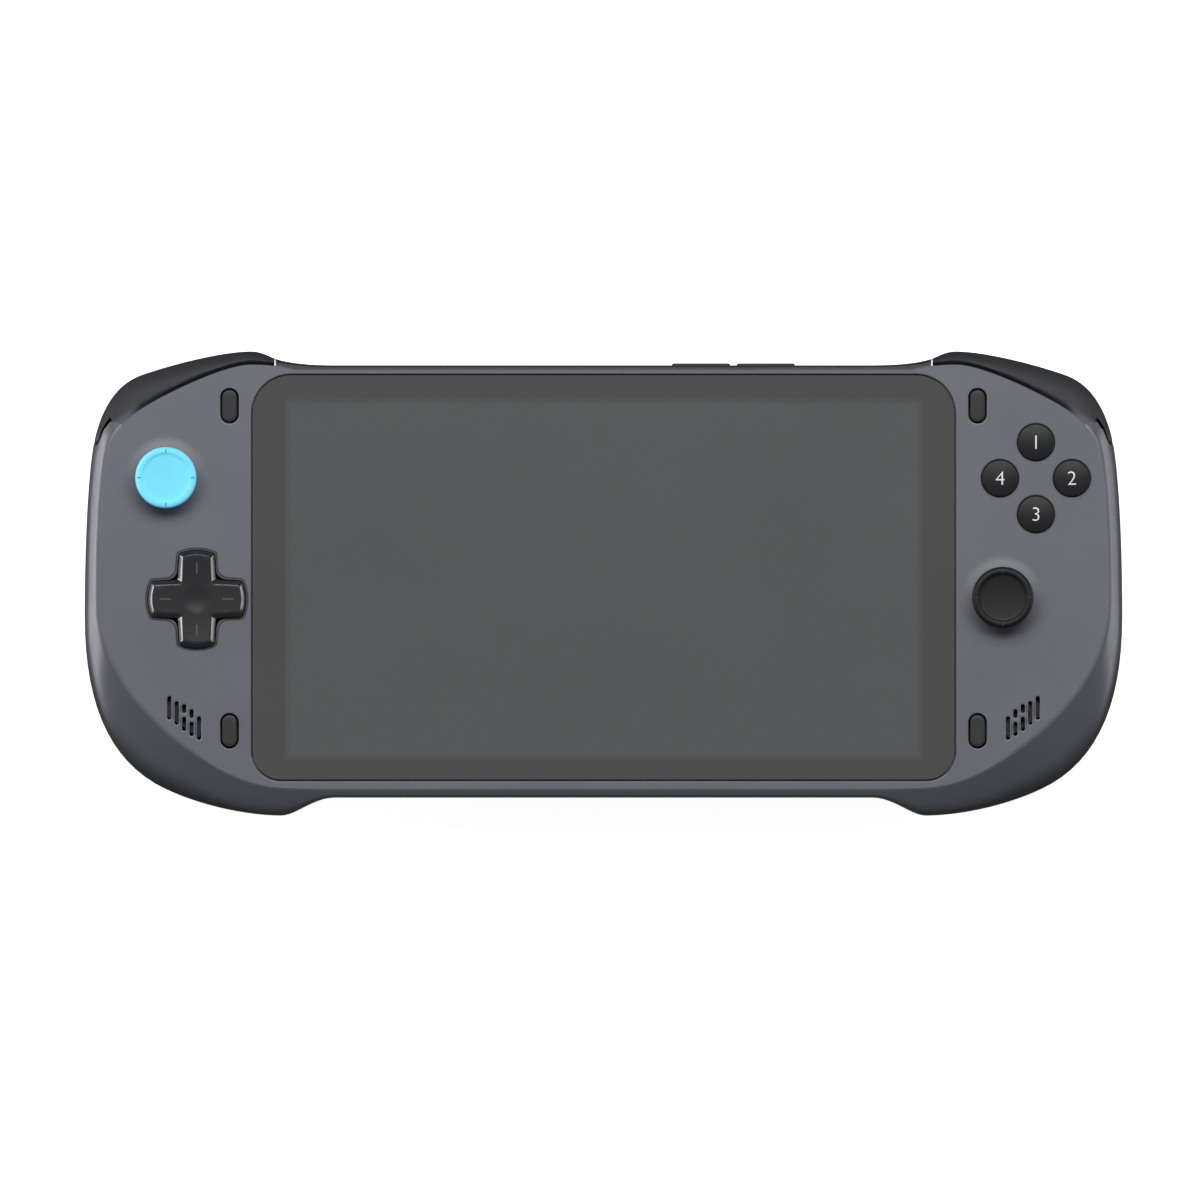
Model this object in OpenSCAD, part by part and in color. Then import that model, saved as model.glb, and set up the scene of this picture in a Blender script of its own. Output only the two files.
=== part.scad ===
// Handheld game console lying on its back: +X right, +Y to the top edge, +Z out of the screen.
// The origin is under the middle of the body, in the plane that the grips rest on.

/* [Screen] */
// Width of the lit picture
screen_w = 155; // [145:0.5:162]
// Height of the lit picture
screen_h = 87.2; // [82:0.2:91]
// Middle of the picture above the middle of the body
screen_y = 1.1; // [0.5:0.1:1.7]
// Dark border beside the picture
bezel_side = 8.5; // [7:0.1:10]
// Dark border above the picture
bezel_top = 6.3; // [5:0.1:8]
// Dark border below the picture
bezel_bottom = 5.6; // [5:0.1:7]
// Thickness of the cover glass
glass_t = 1.2; // [0.9:0.1:1.4]
// Radius of the upper corners of the glass
glass_r_top = 9.5; // [6:0.5:12]
// Radius of the lower corners of the glass
glass_r_bottom = 7; // [5:0.5:10]
// Border of the display panel round the picture
panel_border = 1.6; // [1:0.1:2]
// Thickness of the display panel
panel_t = 2.6; // [2.2:0.1:2.8]

/* [Body] */
// Width of a control panel, from the glass to the side of the body
side_w = 41.2; // [40.6:0.2:46]
// Edge of the body above the glass
edge_top = 2.5; // [2.2:0.1:4]
// Edge of the body below the glass
edge_bottom = 4.4; // [3.8:0.1:6]
// Rise of the shoulders above the top edge
shoulder_rise = 3.4; // [2.8:0.1:4.4]
// Drop of the grip tips below the bottom edge
tip_drop = 4.4; // [3.4:0.1:5.4]
// Height at which the body is widest
widest_y = -8; // [-12:0.5:-4]
// Thickness of the middle body
body_t = 15.5; // [15:0.5:18]
// Depth of the grips behind the middle body
grip_depth = 17.5; // [16.5:0.5:20]
// Depth of the front shell's rounded side
front_t = 7.5; // [7:0.1:8.2]
// Wall of both shells
wall = 2; // [1.7:0.1:2.2]
// Thickness of the front plate
plate_t = 2.2; // [2:0.1:2.4]
// Rounding of the back edge
back_round = 3.5; // [2.5:0.1:4]
// Upper end of a grip
grip_top = 39; // [36:0.5:39.5]
// Half length of the flat on which a grip rests
grip_rest_l = 30; // [24:0.5:32]
// Half width of the flat on which a grip rests
grip_rest_w = 11; // [8:0.5:13]

/* [Sticks] */
// Left stick from the glass edge
left_stick_x = 21.1; // [20:0.1:22]
// Left stick above the middle of the body
left_stick_y = 25.9; // [25:0.1:27]
// Right stick from the glass edge
right_stick_x = 11.7; // [11.5:0.1:13]
// Right stick above the middle of the body
right_stick_y = -3.4; // [-5:0.1:-2.4]
// Diameter of a stick cap
cap_d = 15; // [13:0.1:16]
// Thickness of a stick cap
cap_t = 3; // [2.4:0.1:3.6]
// Room under a stick cap, above the face
cap_rise = 4.4; // [4.3:0.1:5]
// Depth of a stick's pivot below the face
pivot_depth = 7; // [6.8:0.1:7.4]
// Radius of a stick's dust skirt
skirt_r = 9.5; // [9.2:0.1:9.8]
// Diameter of a stick's stem
stem_d = 2.5; // [2:0.1:2.8]

/* [Buttons] */
// D-pad from the glass edge
dpad_x = 13.6; // [13.4:0.1:15]
// D-pad above the middle of the body
dpad_y = -3.8; // [-5:0.1:-3]
// Half length of the D-pad
dpad_l = 11.9; // [11:0.1:12.1]
// Width of a D-pad arm
dpad_w = 9.2; // [8:0.1:9.6]
// Height of the D-pad above the face
dpad_rise = 2.4; // [1.8:0.1:3]
// Action buttons from the glass edge
action_x = 19.9; // [19.5:0.1:21]
// Action buttons above the middle of the body
action_y = 25.8; // [25:0.1:26.5]
// Distance of an action button from the middle of its group
action_pitch = 8.8; // [8.6:0.1:9.2]
// Diameter of an action button
action_d = 9; // [8:0.1:9.2]
// Height of an action button above the face
action_rise = 1.6; // [1.3:0.1:2.2]
// Pill keys from the glass edge
pill_x = 5.6; // [5.4:0.1:6.2]
// Upper pill keys above the middle of the body
pill_top_y = 43.5; // [43:0.1:44]
// Lower pill keys below the middle of the body
pill_bottom_y = -36.1; // [-37:0.1:-35]
// Width of a pill key
pill_w = 4; // [3.4:0.1:4.2]
// Length of a pill key
pill_l = 8.2; // [7:0.1:8.6]
// Height of a pill key above the face
pill_rise = 0.5; // [0.3:0.1:0.9]
// Length of a volume key
volume_l = 14.2; // [12:0.1:15]
// Inner end of the volume keys, from the middle of the body
volume_x = 16.8; // [15:0.1:20]
// Length of the power key
power_l = 9; // [7:0.1:12]
// Thickness of the keys on the top edge
edge_key_t = 2.6; // [2.2:0.1:2.8]
// Height of the volume keys above the top edge
edge_key_rise = 0.5; // [0.3:0.1:0.8]

/* [Shoulders] */
// Inner end of a bumper, from the glass edge towards the middle
bumper_in = 5.3; // [5:0.1:6]
// How far a bumper reaches in under the front plate
bumper_tuck = 1.6; // [1.2:0.1:1.8]
// Height of a bumper
bumper_h = 10.1; // [9:0.1:10.1]
// Inner end of a trigger, from the glass edge
trigger_x = 2.5; // [2:0.1:4]
// Width of a trigger
trigger_w = 24; // [20:0.2:24.4]
// Diameter of a trigger's pin
trigger_pin_d = 2; // [1.6:0.1:2.4]
// Hinge of a trigger above the middle of the body
trigger_y = 43.5; // [43.2:0.1:44]
// Hinge of a trigger behind the middle body
trigger_drop = 3.5; // [3.2:0.1:4]

/* [Grilles] */
// Slots in a speaker grille
grille_count = 5; // [3:1:5]
// Distance between the speaker slots
grille_pitch = 1.82; // [1.7:0.02:2]
// Width of a speaker slot
grille_slot = 1; // [0.8:0.05:1.1]
// Slots in a row of back vents
vent_count = 9; // [5:1:11]
// Length of a back vent
vent_l = 12; // [8:0.5:16]

/* [Insides] */
// Thickness of the midframe
midframe_t = 1.2; // [1:0.1:1.4]
// Thickness of the boards
board_t = 1.2; // [1:0.1:1.4]
// Length of the battery
battery_w = 100; // [80:1:104]
// Height of the battery
battery_h = 38; // [30:1:39]
// Thickness of the battery
battery_t = 6; // [4:0.1:6.6]
// Depth of the control boards under the front plate
key_depth = 4.2; // [4:0.1:4.4]
// Diameter of the case screws
screw_d = 2; // [1.6:0.1:2.2]
// Radius of the plug that the headphone jack takes
plug_r = 1.75; // [1.25:0.05:1.75]

/* [Hidden] */
$fn = 48;

// Clearances
run_gap = 0.05;
key_gap = 0.15;
seat_gap = 0.1;
move_gap = 0.3;
pad_gap = 0.05;
eps = 0.01;

// Plan of the glass and the body
glass_w = screen_w + 2 * bezel_side;
glass_x = glass_w / 2;
glass_top = screen_y + screen_h / 2 + bezel_top;
glass_bottom = screen_y - screen_h / 2 - bezel_bottom;
half_w = glass_x + side_w;
top_y = glass_top + edge_top;
bottom_y = glass_bottom - edge_bottom;
shoulder_y = top_y + shoulder_rise;
tip_y = bottom_y - tip_drop;
bumper_x = glass_x - bumper_in;

// Heights above the rest plane
back_z = grip_depth;
face_z = back_z + body_t;
part_z = face_z - front_t;
floor_z = back_z + wall;
plate_z = face_z - plate_t;
glass_z = face_z - glass_t;
panel_z = glass_z - panel_t;
midframe_z = panel_z - midframe_t;
control_z = plate_z - key_depth;
pivot_z = face_z - pivot_depth;
cap_z = face_z + cap_rise;
standoff_h = 2.2;
main_board_z = midframe_z - standoff_h - board_t;
edge_key_z = part_z - 2.6;

// Plan of the display panel and the midframe
panel_w = screen_w + 2 * panel_border;
panel_h = screen_h + 2 * panel_border;
window_gap = 0.3;
midframe_w = panel_w + 3;
midframe_top = screen_y + panel_h / 2 + 1;
midframe_bottom = screen_y - panel_h / 2;

// Outline of the flat front face: right half, clockwise, as cubic curves of four points
face_line = [
    [[glass_x - 20, top_y - 1], [glass_x - 14, top_y - 1], [glass_x - 8.5, top_y - 0.6],
        [bumper_x, top_y - 0.2]],
    [[bumper_x, top_y - 0.2], [glass_x - 3.4, top_y], [glass_x - 2, shoulder_y - 3.3],
        [glass_x + 0.5, shoulder_y - 3.3]],
    [[glass_x + 0.5, shoulder_y - 3.3], [glass_x + 6, shoulder_y - 3.3], [half_w - 22, shoulder_y - 9.2],
        [half_w - 14.5, shoulder_y - 13.8]],
    [[half_w - 14.5, shoulder_y - 13.8], [half_w - 10.5, shoulder_y - 16.4],
        [half_w - 7.2, shoulder_y - 19.4], [half_w - 6, shoulder_y - 22.8]],
    [[half_w - 6, shoulder_y - 22.8], [half_w - 4, shoulder_y - 30.9], [half_w - 3.5, widest_y + 18],
        [half_w - 3.5, widest_y + 4]],
    [[half_w - 3.5, widest_y + 4], [half_w - 3.5, widest_y - 9], [half_w - 10.4, tip_y + 29.9],
        [half_w - 20, tip_y + 20.9]],
    [[half_w - 20, tip_y + 20.9], [half_w - 28, tip_y + 14.3], [glass_x + 4, bottom_y + 3.1],
        [glass_x - 7, bottom_y + 2.5]],
    [[glass_x - 7, bottom_y + 2.5], [glass_x - 11, bottom_y + 2.3], [glass_x - 15, bottom_y + 2.2],
        [glass_x - 20, bottom_y + 2.2]]
];

// Outline of the body where the two shells meet, in the same curves
side_line = [
    [[glass_x - 20, top_y], [glass_x - 14, top_y], [glass_x - 8.5, top_y + 0.5],
        [bumper_x, top_y + shoulder_rise / 2]],
    [[bumper_x, top_y + shoulder_rise / 2], [glass_x - 3.4, shoulder_y - 0.9], [glass_x - 2, shoulder_y],
        [glass_x + 0.5, shoulder_y]],
    [[glass_x + 0.5, shoulder_y], [glass_x + 7, shoulder_y], [half_w - 22.2, shoulder_y - 2.9],
        [half_w - 14.2, shoulder_y - 5.7]],
    [[half_w - 14.2, shoulder_y - 5.7], [half_w - 7.7, shoulder_y - 7.9], [half_w - 4.2, shoulder_y - 13.9],
        [half_w - 2.4, shoulder_y - 21.8]],
    [[half_w - 2.4, shoulder_y - 21.8], [half_w - 0.9, shoulder_y - 28.9], [half_w, widest_y + 18],
        [half_w, widest_y]],
    [[half_w, widest_y], [half_w, widest_y - 20], [half_w - 5.2, tip_y + 14.9],
        [half_w - 17.4, tip_y + 7.8]],
    [[half_w - 17.4, tip_y + 7.8], [half_w - 26.2, tip_y + 2.9], [glass_x + 2, tip_y],
        [glass_x - 7, tip_y]],
    [[glass_x - 7, tip_y], [glass_x - 10.5, tip_y], [glass_x - 15, bottom_y],
        [glass_x - 20, bottom_y]]
];

// Inner side of a grip, from its tip up and round to the bumper's outer end
grip_line = [
    [[glass_x - 7, tip_y], [glass_x - 9, tip_y + 18], [glass_x - 7, -12], [glass_x - 6, 8]],
    [[glass_x - 6, 8], [glass_x - 5, 27], [glass_x + 2, grip_top], [glass_x + 14, grip_top]],
    [[glass_x + 14, grip_top], [glass_x + 24, grip_top], [half_w - 6, grip_top - 0.5],
        [half_w - 2.4, shoulder_y - 21.8]]
];
grip_middle = [half_w - 21.2, -6];

// Points along one cubic curve, without its end
steps = 6;
function curve(c, n = steps) = [
    for (k = [0 : n - 1])
        let (u = k / n, v = 1 - u)
            v * v * v * c[0] + 3 * v * v * u * c[1] + 3 * v * u * u * c[2] + u * u * u * c[3]
];

// One of the body's curves, t of the way from the face's edge to the side
function body_curve(i, t) = [for (k = [0 : 3]) (1 - t) * face_line[i][k] + t * side_line[i][k]];
function body_points(i, j, t) = [for (s = [i : j]) each curve(body_curve(s, t))];
function half_outline(t) = concat(body_points(0, 7, t), [body_curve(7, t)[3]]);
function flip(p) = [-p[0], p[1]];
function reversed(list) = [for (k = [len(list) - 1 : -1 : 0]) list[k]];
function outline(t) = let (h = half_outline(t)) concat(h, [for (p = reversed(h)) flip(p)]);

// Points moved inwards by d, each square to the line between its neighbours
function inset(points, d) = [
    let (n = len(points))
        for (k = [0 : n - 1])
            let (along = points[(k + 1) % n] - points[(k + n - 1) % n])
                points[k] + d * [along[1], -along[0]] / norm(along)
];
function at_z(points, z) = [for (p = points) [p[0], p[1], z]];

// Side of the front shell: angle 90 is where the shells meet, the least angle is the face's edge
edge_angle = 28;
side_angles = [edge_angle, 38, 48, 58, 68, 79, 90];
function side_t(a) = (sin(a) - sin(edge_angle)) / (1 - sin(edge_angle));
function side_z(a) = part_z + front_t * cos(a) / cos(edge_angle);
function side_angle_at(z) = acos((z - part_z) * cos(edge_angle) / front_t);
back_angles = [0, 25, 50, 70, 90];

// Closed solid through rings of points, the lowest ring first. Each end is one polygon, or for a
// strip a row of triangles between the ring's two halves.
module loft(rings, strip = false) {
    n = len(rings[0]);
    last = len(rings) - 1;
    sides = [
        for (r = [0 : last - 1])
            for (k = [0 : n - 1])
                let (m = (k + 1) % n)
                    each [
                        [r * n + k, (r + 1) * n + m, (r + 1) * n + k],
                        [r * n + k, r * n + m, (r + 1) * n + m]
                    ]
    ];
    end = strip
        ? [for (k = [0 : n / 2 - 2]) each [[k, k + 1, n - 1 - k], [k + 1, n - 2 - k, n - 1 - k]]]
        : [[for (k = [0 : n - 1]) k]];
    bottom = [for (f = end) reversed(f)];
    top = [for (f = end) [for (k = f) last * n + k]];
    polyhedron([for (r = rings) each r], concat(bottom, sides, top), convexity = 8);
}

// A plate with four rounded corners, between two heights
module rounded_plate(x0, x1, y0, y1, r, z0, z1) {
    translate([0, 0, z0])
        linear_extrude(z1 - z0)
            translate([x0 + r, y0 + r])
                offset(r)
                    square([x1 - x0 - 2 * r, y1 - y0 - 2 * r]);
}

// What follows, set over a point of the plan
module at_plan(p, z) {
    translate([p[0], p[1], z])
        children();
}

// A box between two corners
module box(low, high) {
    translate(low)
        cube(high - low);
}

// A slot with round ends, between two points of the plan
module slot(a, b, d, z0, z1) {
    hull() {
        translate([a[0], a[1], z0])
            cylinder(d = d, h = z1 - z0, $fn = 20);
        translate([b[0], b[1], z0])
            cylinder(d = d, h = z1 - z0, $fn = 20);
    }
}

// The right-hand piece as it is, or its mirror image on the left
module on_side(side) {
    if (side < 0)
        mirror([1, 0, 0])
            children();
    else
        children();
}

// Places of the controls
left_stick = [-glass_x - left_stick_x, left_stick_y];
right_stick = [glass_x + right_stick_x, right_stick_y];
dpad_place = [-glass_x - dpad_x, dpad_y];
action_place = [glass_x + action_x, action_y];
action_ways = [[0, 1], [1, 0], [0, -1], [-1, 0]];
pill_places = [for (y = [pill_top_y, pill_bottom_y]) for (s = [-1, 1]) [s * (glass_x + pill_x), y]];
jack_x = -battery_w / 2 - 8;
jack_to_screw = 10;
screw_places = [
    for (s = [-1, 1])
        each [[s * (glass_x - 1.7), glass_top - 9], [s * (jack_to_screw - jack_x), glass_bottom + 1.3]]
];

// Sizes that the shells share with what they hold
skirt_gap = 0.4;
collar_r = skirt_r + 0.1;
collar_h = 0.8;
dpad_gap = 0.35;
boss_r = 3.2;
post_r = 2.4;
boss_h = 1;
boss_root = 0.7;
screw_head_r = 1.8;
screw_head_h = 1;
port_z = part_z - 3.4;
card_x = 28;
usb_w = 9;
usb_h = 3.2;
jack_r = 2.3;
card_w = 12;
card_h = 1;
port_gap = 0.1;

// Sizes of the bumpers and triggers that the shells make room for
bumper_top = plate_z - move_gap;
bumper_z = bumper_top - bumper_h;
bumper_travel = 1.2;
bumper_end_gap = 1.1;
trigger_z = back_z - trigger_drop;
trigger_x0 = glass_x + trigger_x;
trigger_x1 = trigger_x0 + trigger_w;
cheek_t = 2.6;
cheek_r = 3.2;

function part_of(list, i, j) = [for (k = [i : j]) list[k]];
function face_inset(d) = inset(outline(0), d);

// Plan of the room for the right bumper, d inside the face's edge
function bumper_room(d, gap_in, gap_out) =
    let (inner = part_of(face_inset(d), steps, 4 * steps))
        let (first = inner[0], end = inner[len(inner) - 1])
            concat(
                [[bumper_x - gap_in, shoulder_y + 10], [bumper_x - gap_in, first[1]]],
                part_of(inner, 1, len(inner) - 1),
                [end - [0, gap_out], [half_w + 10, end[1] + 2.2 - gap_out], [half_w + 10, shoulder_y + 10]]
            );

module bumper_cut(d, gap_out, z0, z1) {
    translate([0, 0, z0])
        linear_extrude(z1 - z0)
            polygon(bumper_room(d, move_gap, gap_out));
}

module glass_plan(grow) {
    x = glass_x + grow;
    r0 = glass_r_bottom + grow;
    r1 = glass_r_top + grow;
    hull() {
        for (s = [-1, 1]) {
            translate([s * (x - r0), glass_bottom - grow + r0])
                circle(r0);
            translate([s * (x - r1), glass_top + grow - r1])
                circle(r1);
        }
    }
}

module dpad_plan(grow) {
    w = dpad_w + 2 * grow;
    l = dpad_l + grow;
    intersection() {
        circle(l);
        union() {
            square([2 * l, w], center = true);
            square([w, 2 * l], center = true);
        }
    }
}

// Slots of the right speaker grille: each column's upper end, length and place of its bridge
grille_middle = [glass_x + 16.7, -33];
grille_slope = 0.68;
module grille() {
    for (k = [0 : grille_count - 1]) {
        u = (k - (grille_count - 1) / 2) * grille_pitch;
        x = grille_middle[0] + u;
        y = grille_middle[1] + grille_slope * u;
        if (k == 1 || k == 2) {
            slot([x, y + 2.9], [x, y + 1.8], grille_slot, control_z, face_z + 1);
            slot([x, y - 0.2], [x, y - 2.6], grille_slot, control_z, face_z + 1);
        } else {
            slot([x, y + 2.4], [x, y - 2.3], grille_slot, control_z, face_z + 1);
        }
    }
}

function front_rings(d, depth) = [
    for (a = reversed(side_angles))
        at_z(inset(outline(side_t(a)), d), part_z + depth * cos(a) / cos(edge_angle))
];

module stick_collar(place) {
    translate([place[0], place[1], face_z])
        rotate_extrude()
            polygon([[4, -1], [collar_r, -1], [collar_r, 0], [collar_r - 0.8, collar_h * 0.6],
                [collar_r - 2, collar_h], [4, collar_h]]);
}

module front_shell() {
    color("#696b73")
        difference() {
            union() {
                difference() {
                    loft(front_rings(0, front_t));
                    loft(concat([at_z(inset(outline(1), wall), part_z - 1)],
                        front_rings(wall, front_t - plate_t)));
                }
                stick_collar(left_stick);
                stick_collar(right_stick);
                for (p = screw_places)
                    translate([p[0], p[1], floor_z + boss_h + seat_gap])
                        cylinder(r = post_r, h = plate_z + eps - floor_z - boss_h - seat_gap, $fn = 32);
            }
            translate([0, 0, glass_z])
                linear_extrude(glass_t + 1)
                    glass_plan(key_gap);
            translate([0, screen_y, glass_z])
                cube([panel_w + 2 * window_gap, panel_h + 2 * window_gap, 3 * plate_t], center = true);
            for (p = [left_stick, right_stick])
                translate([p[0], p[1], pivot_z])
                    sphere(skirt_r + skirt_gap, $fn = 60);
            translate([dpad_place[0], dpad_place[1], plate_z - 1])
                linear_extrude(plate_t + 2)
                    dpad_plan(dpad_gap);
            for (w = action_ways)
                at_plan(action_place + action_pitch * w, plate_z - 1)
                    cylinder(d = action_d + 2 * key_gap, h = plate_t + 2);
            for (p = pill_places)
                slot(p + [0, (pill_l - pill_w) / 2], p - [0, (pill_l - pill_w) / 2], pill_w + 2 * key_gap,
                    plate_z - 1, face_z + 1);
            for (s = [-1, 1])
                on_side(s) {
                    grille();
                    bumper_cut(seat_gap, bumper_end_gap, plate_z - seat_gap, face_z + 1);
                    bumper_cut(bumper_tuck + bumper_travel, bumper_end_gap, part_z - 1, plate_z + seat_gap);
                }
            for (p = screw_places)
                translate([p[0], p[1], floor_z])
                    cylinder(d = screw_d + 2 * run_gap, h = 9, $fn = 24);
        }
}

function slab_rings() = [
    for (b = reversed(back_angles))
        at_z(inset(outline(1), back_round * (1 - cos(b))), back_z + back_round * (1 - sin(b)))
];

function grip_plan() = concat(body_points(4, 6, 1), [for (g = grip_line) each curve(g)]);

// The point of the grip's resting flat that lies the same way from the grip's middle as p
function rest_point(p) =
    let (u = (p - grip_middle) / norm(p - grip_middle))
        grip_middle + u / norm([u[0] / grip_rest_w, u[1] / grip_rest_l]);

grip_angles = [0, 15, 30, 45, 60, 75, 90];
grip_z = back_z + back_round + 2.4;
grip_proud = 0.04;
grip_wall = wall + 0.12;
function grip_rings(base, d) = [
    for (a = reversed(grip_angles))
        at_z(inset([for (p = grip_plan()) cos(a) * p + (1 - cos(a)) * rest_point(p)], d),
            base + (grip_z - base) * (1 - sin(a)))
];

module trigger_cheek(x) {
    hull() {
        translate([x, trigger_y, trigger_z])
            rotate([0, 90, 0])
                cylinder(r = cheek_r, h = cheek_t, $fn = 32);
        box([x, trigger_y - 6, back_z], [x + cheek_t, trigger_y + cheek_r - 0.5, back_z + 1]);
    }
}

vent_pitch = 3.6;
vent_w = 1.6;
vent_y = 24;

module back_vents() {
    for (k = [0 : vent_count - 1])
        for (s = [-1, 1]) {
            x = (k - (vent_count - 1) / 2) * vent_pitch;
            y = vent_y + s * (vent_l / 2 + 2);
            slot([x, y - vent_l / 2], [x, y + vent_l / 2], vent_w, back_z - 1, floor_z + 1);
        }
}

module edge_key_room(x0, x1) {
    half = edge_key_t / 2 + key_gap;
    box([x0 - key_gap, top_y - wall - 1, edge_key_z - half], [x1 + key_gap, top_y + 1, edge_key_z + half]);
}

module port_room() {
    hull() {
        for (s = [-1, 1])
            translate([s * (usb_w - usb_h) / 2, bottom_y + wall + 1, port_z])
                rotate([90, 0, 0])
                    cylinder(d = usb_h + 2 * port_gap, h = wall + 4, $fn = 32);
    }
    translate([jack_x, bottom_y + back_round + 1, port_z])
        rotate([90, 0, 0])
            cylinder(r = jack_r + port_gap, h = back_round + 4, $fn = 32);
    box([card_x - card_w / 2 - port_gap, bottom_y - 1, port_z - card_h / 2 - port_gap],
        [card_x + card_w / 2 + port_gap, bottom_y + wall + 1, port_z + card_h / 2 + port_gap]);
}

power_x = -40;
volume_gap = 1.7;

module rear_shell() {
    color("#4a4b51")
        difference() {
            union() {
                difference() {
                    union() {
                        loft(concat(slab_rings(), [at_z(outline(1), part_z)]));
                        for (s = [-1, 1])
                            on_side(s)
                                loft(grip_rings(0, -grip_proud));
                    }
                    loft([for (z = [floor_z, part_z + 1]) at_z(inset(outline(1), wall), z)]);
                    for (s = [-1, 1])
                        on_side(s)
                            loft(concat(grip_rings(wall, grip_wall),
                                [at_z(inset(grip_plan(), grip_wall), part_z + 1)]));
                }
                for (s = [-1, 1])
                    on_side(s) {
                        trigger_cheek(trigger_x0 - move_gap - cheek_t);
                        trigger_cheek(trigger_x1 + move_gap);
                    }
                for (p = screw_places)
                    translate([p[0], p[1], floor_z - boss_root])
                        cylinder(r = boss_r, h = boss_h + boss_root, $fn = 32);
            }
            for (s = [-1, 1])
                on_side(s) {
                    bumper_cut(bumper_tuck + bumper_travel, bumper_end_gap, bumper_z - move_gap, part_z + 1);
                    translate([trigger_x0 - 5, trigger_y, trigger_z])
                        rotate([0, 90, 0])
                            cylinder(d = trigger_pin_d + 2 * run_gap, h = trigger_w + 10, $fn = 24);
                }
            for (p = screw_places) {
                translate([p[0], p[1], back_z - 1])
                    cylinder(r = screw_head_r + seat_gap, h = screw_head_h + 1 + seat_gap, $fn = 32);
                translate([p[0], p[1], back_z - 1])
                    cylinder(d = screw_d + 2 * run_gap, h = 6, $fn = 24);
            }
            back_vents();
            port_room();
            edge_key_room(volume_x, volume_x + volume_l);
            edge_key_room(volume_x + volume_l + volume_gap, volume_x + 2 * volume_l + volume_gap);
            edge_key_room(power_x - power_l / 2, power_x + power_l / 2);
        }
}

module cover_glass() {
    color("#4c4d4e")
        translate([0, 0, glass_z])
            linear_extrude(glass_t)
                glass_plan(0);
}

module display_panel() {
    color("#3a3b3d")
        box([-panel_w / 2, screen_y - panel_h / 2, panel_z], [panel_w / 2, screen_y + panel_h / 2, glass_z]);
}

// Plan of the main board, which hangs on standoffs of the midframe
board_top = midframe_top - 1.3;
board_w = 144;
board_h = 45;
board_bottom = board_top - board_h;
board_screw_x = 6;
board_screw_y = 5;
standoff_r = 2;
board_screw_d = 1.6;
board_screw_places = [
    for (s = [-1, 1])
        for (y = [board_bottom + board_screw_y, board_top - board_screw_y])
            [s * (board_w / 2 - board_screw_x), y]
];
ribbon_w = 20;
ribbon_t = 0.2;
ribbon_x = -30;
ribbon_y = board_top - 1.4;

module midframe() {
    color("#8f9296")
        difference() {
            union() {
                box([-midframe_w / 2, midframe_bottom, midframe_z], [midframe_w / 2, midframe_top, panel_z]);
                for (p = board_screw_places)
                    translate([p[0], p[1], main_board_z + board_t])
                        cylinder(r = standoff_r, h = standoff_h + eps);
            }
            for (p = board_screw_places)
                translate([p[0], p[1], main_board_z])
                    cylinder(d = board_screw_d + 2 * run_gap, h = panel_z - main_board_z - 0.4);
            box([ribbon_x - move_gap, ribbon_y - move_gap, midframe_z - 1],
                [ribbon_x + ribbon_w + move_gap, ribbon_y + ribbon_t + move_gap, panel_z + 1]);
        }
}

module main_board() {
    color("#1f5a3a")
        difference() {
            box([-board_w / 2, board_bottom, main_board_z], [board_w / 2, board_top, main_board_z + board_t]);
            for (p = board_screw_places)
                translate([p[0], p[1], main_board_z - 1])
                    cylinder(d = board_screw_d + 2 * run_gap, h = board_t + 2);
        }
}

module board_screws() {
    color("silver")
        for (p = board_screw_places)
            translate([p[0], p[1], main_board_z]) {
                translate([0, 0, -0.8])
                    cylinder(d = 2 * board_screw_d, h = 0.8);
                cylinder(d = board_screw_d, h = board_t + standoff_h);
            }
}

spreader_w = 64;
spreader_h = 32;
spreader_t = 1.5;
spreader_top = board_top - 6;

module heat_spreader() {
    color("#b87333")
        rounded_plate(-spreader_w / 2, spreader_w / 2, spreader_top - spreader_h, spreader_top, 2,
            main_board_z - spreader_t, main_board_z);
}

battery_bottom = glass_bottom + 3.5;
lead_d = 1;
lead_x = 29;
lead_gap = 2;

module battery() {
    color("#2b2d31")
        rounded_plate(-battery_w / 2, battery_w / 2, battery_bottom, battery_bottom + battery_h, 1,
            floor_z + seat_gap, floor_z + seat_gap + battery_t);
}

// Two wires between the battery's edge and the main board's edge
module battery_lead() {
    color("#a02020")
        for (s = [-1, 1])
            translate([lead_x + s * lead_gap / 2, battery_bottom + battery_h, main_board_z + board_t / 2])
                rotate([-90, 0, 0])
                    cylinder(d = lead_d, h = board_bottom - battery_bottom - battery_h);
}

module display_ribbon() {
    color("#c98a2b")
        box([ribbon_x, ribbon_y, main_board_z + board_t],
            [ribbon_x + ribbon_w, ribbon_y + ribbon_t, panel_z]);
}

// Inner edge of the control boards
control_x = glass_x + 1.8;
side_ribbon_w = 10;
side_ribbon_y = 14;

module side_ribbon(side) {
    color("#c98a2b")
        on_side(side)
            box([board_w / 2 - 2, side_ribbon_y, main_board_z + board_t],
                [control_x - seat_gap, side_ribbon_y + side_ribbon_w, main_board_z + board_t + ribbon_t]);
}

stick_hole_r = skirt_r + 1.1;

// A control board on the given side, cut out round the stick at the given place
module control_board(side, stick) {
    color("#1f5a3a")
        difference() {
            on_side(side)
                intersection() {
                    translate([0, 0, control_z - board_t])
                        linear_extrude(board_t)
                            polygon(face_inset(6));
                    union() {
                        box([control_x, -19, control_z - 2 * board_t], [half_w, shoulder_y, control_z + 1]);
                        box([control_x, pill_bottom_y - 7, control_z - 2 * board_t],
                            [glass_x + pill_x + 3, -18, control_z + 1]);
                    }
                }
            translate([stick[0], stick[1], control_z - 2 * board_t])
                cylinder(r = stick_hole_r, h = 4 * board_t);
        }
}

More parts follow.
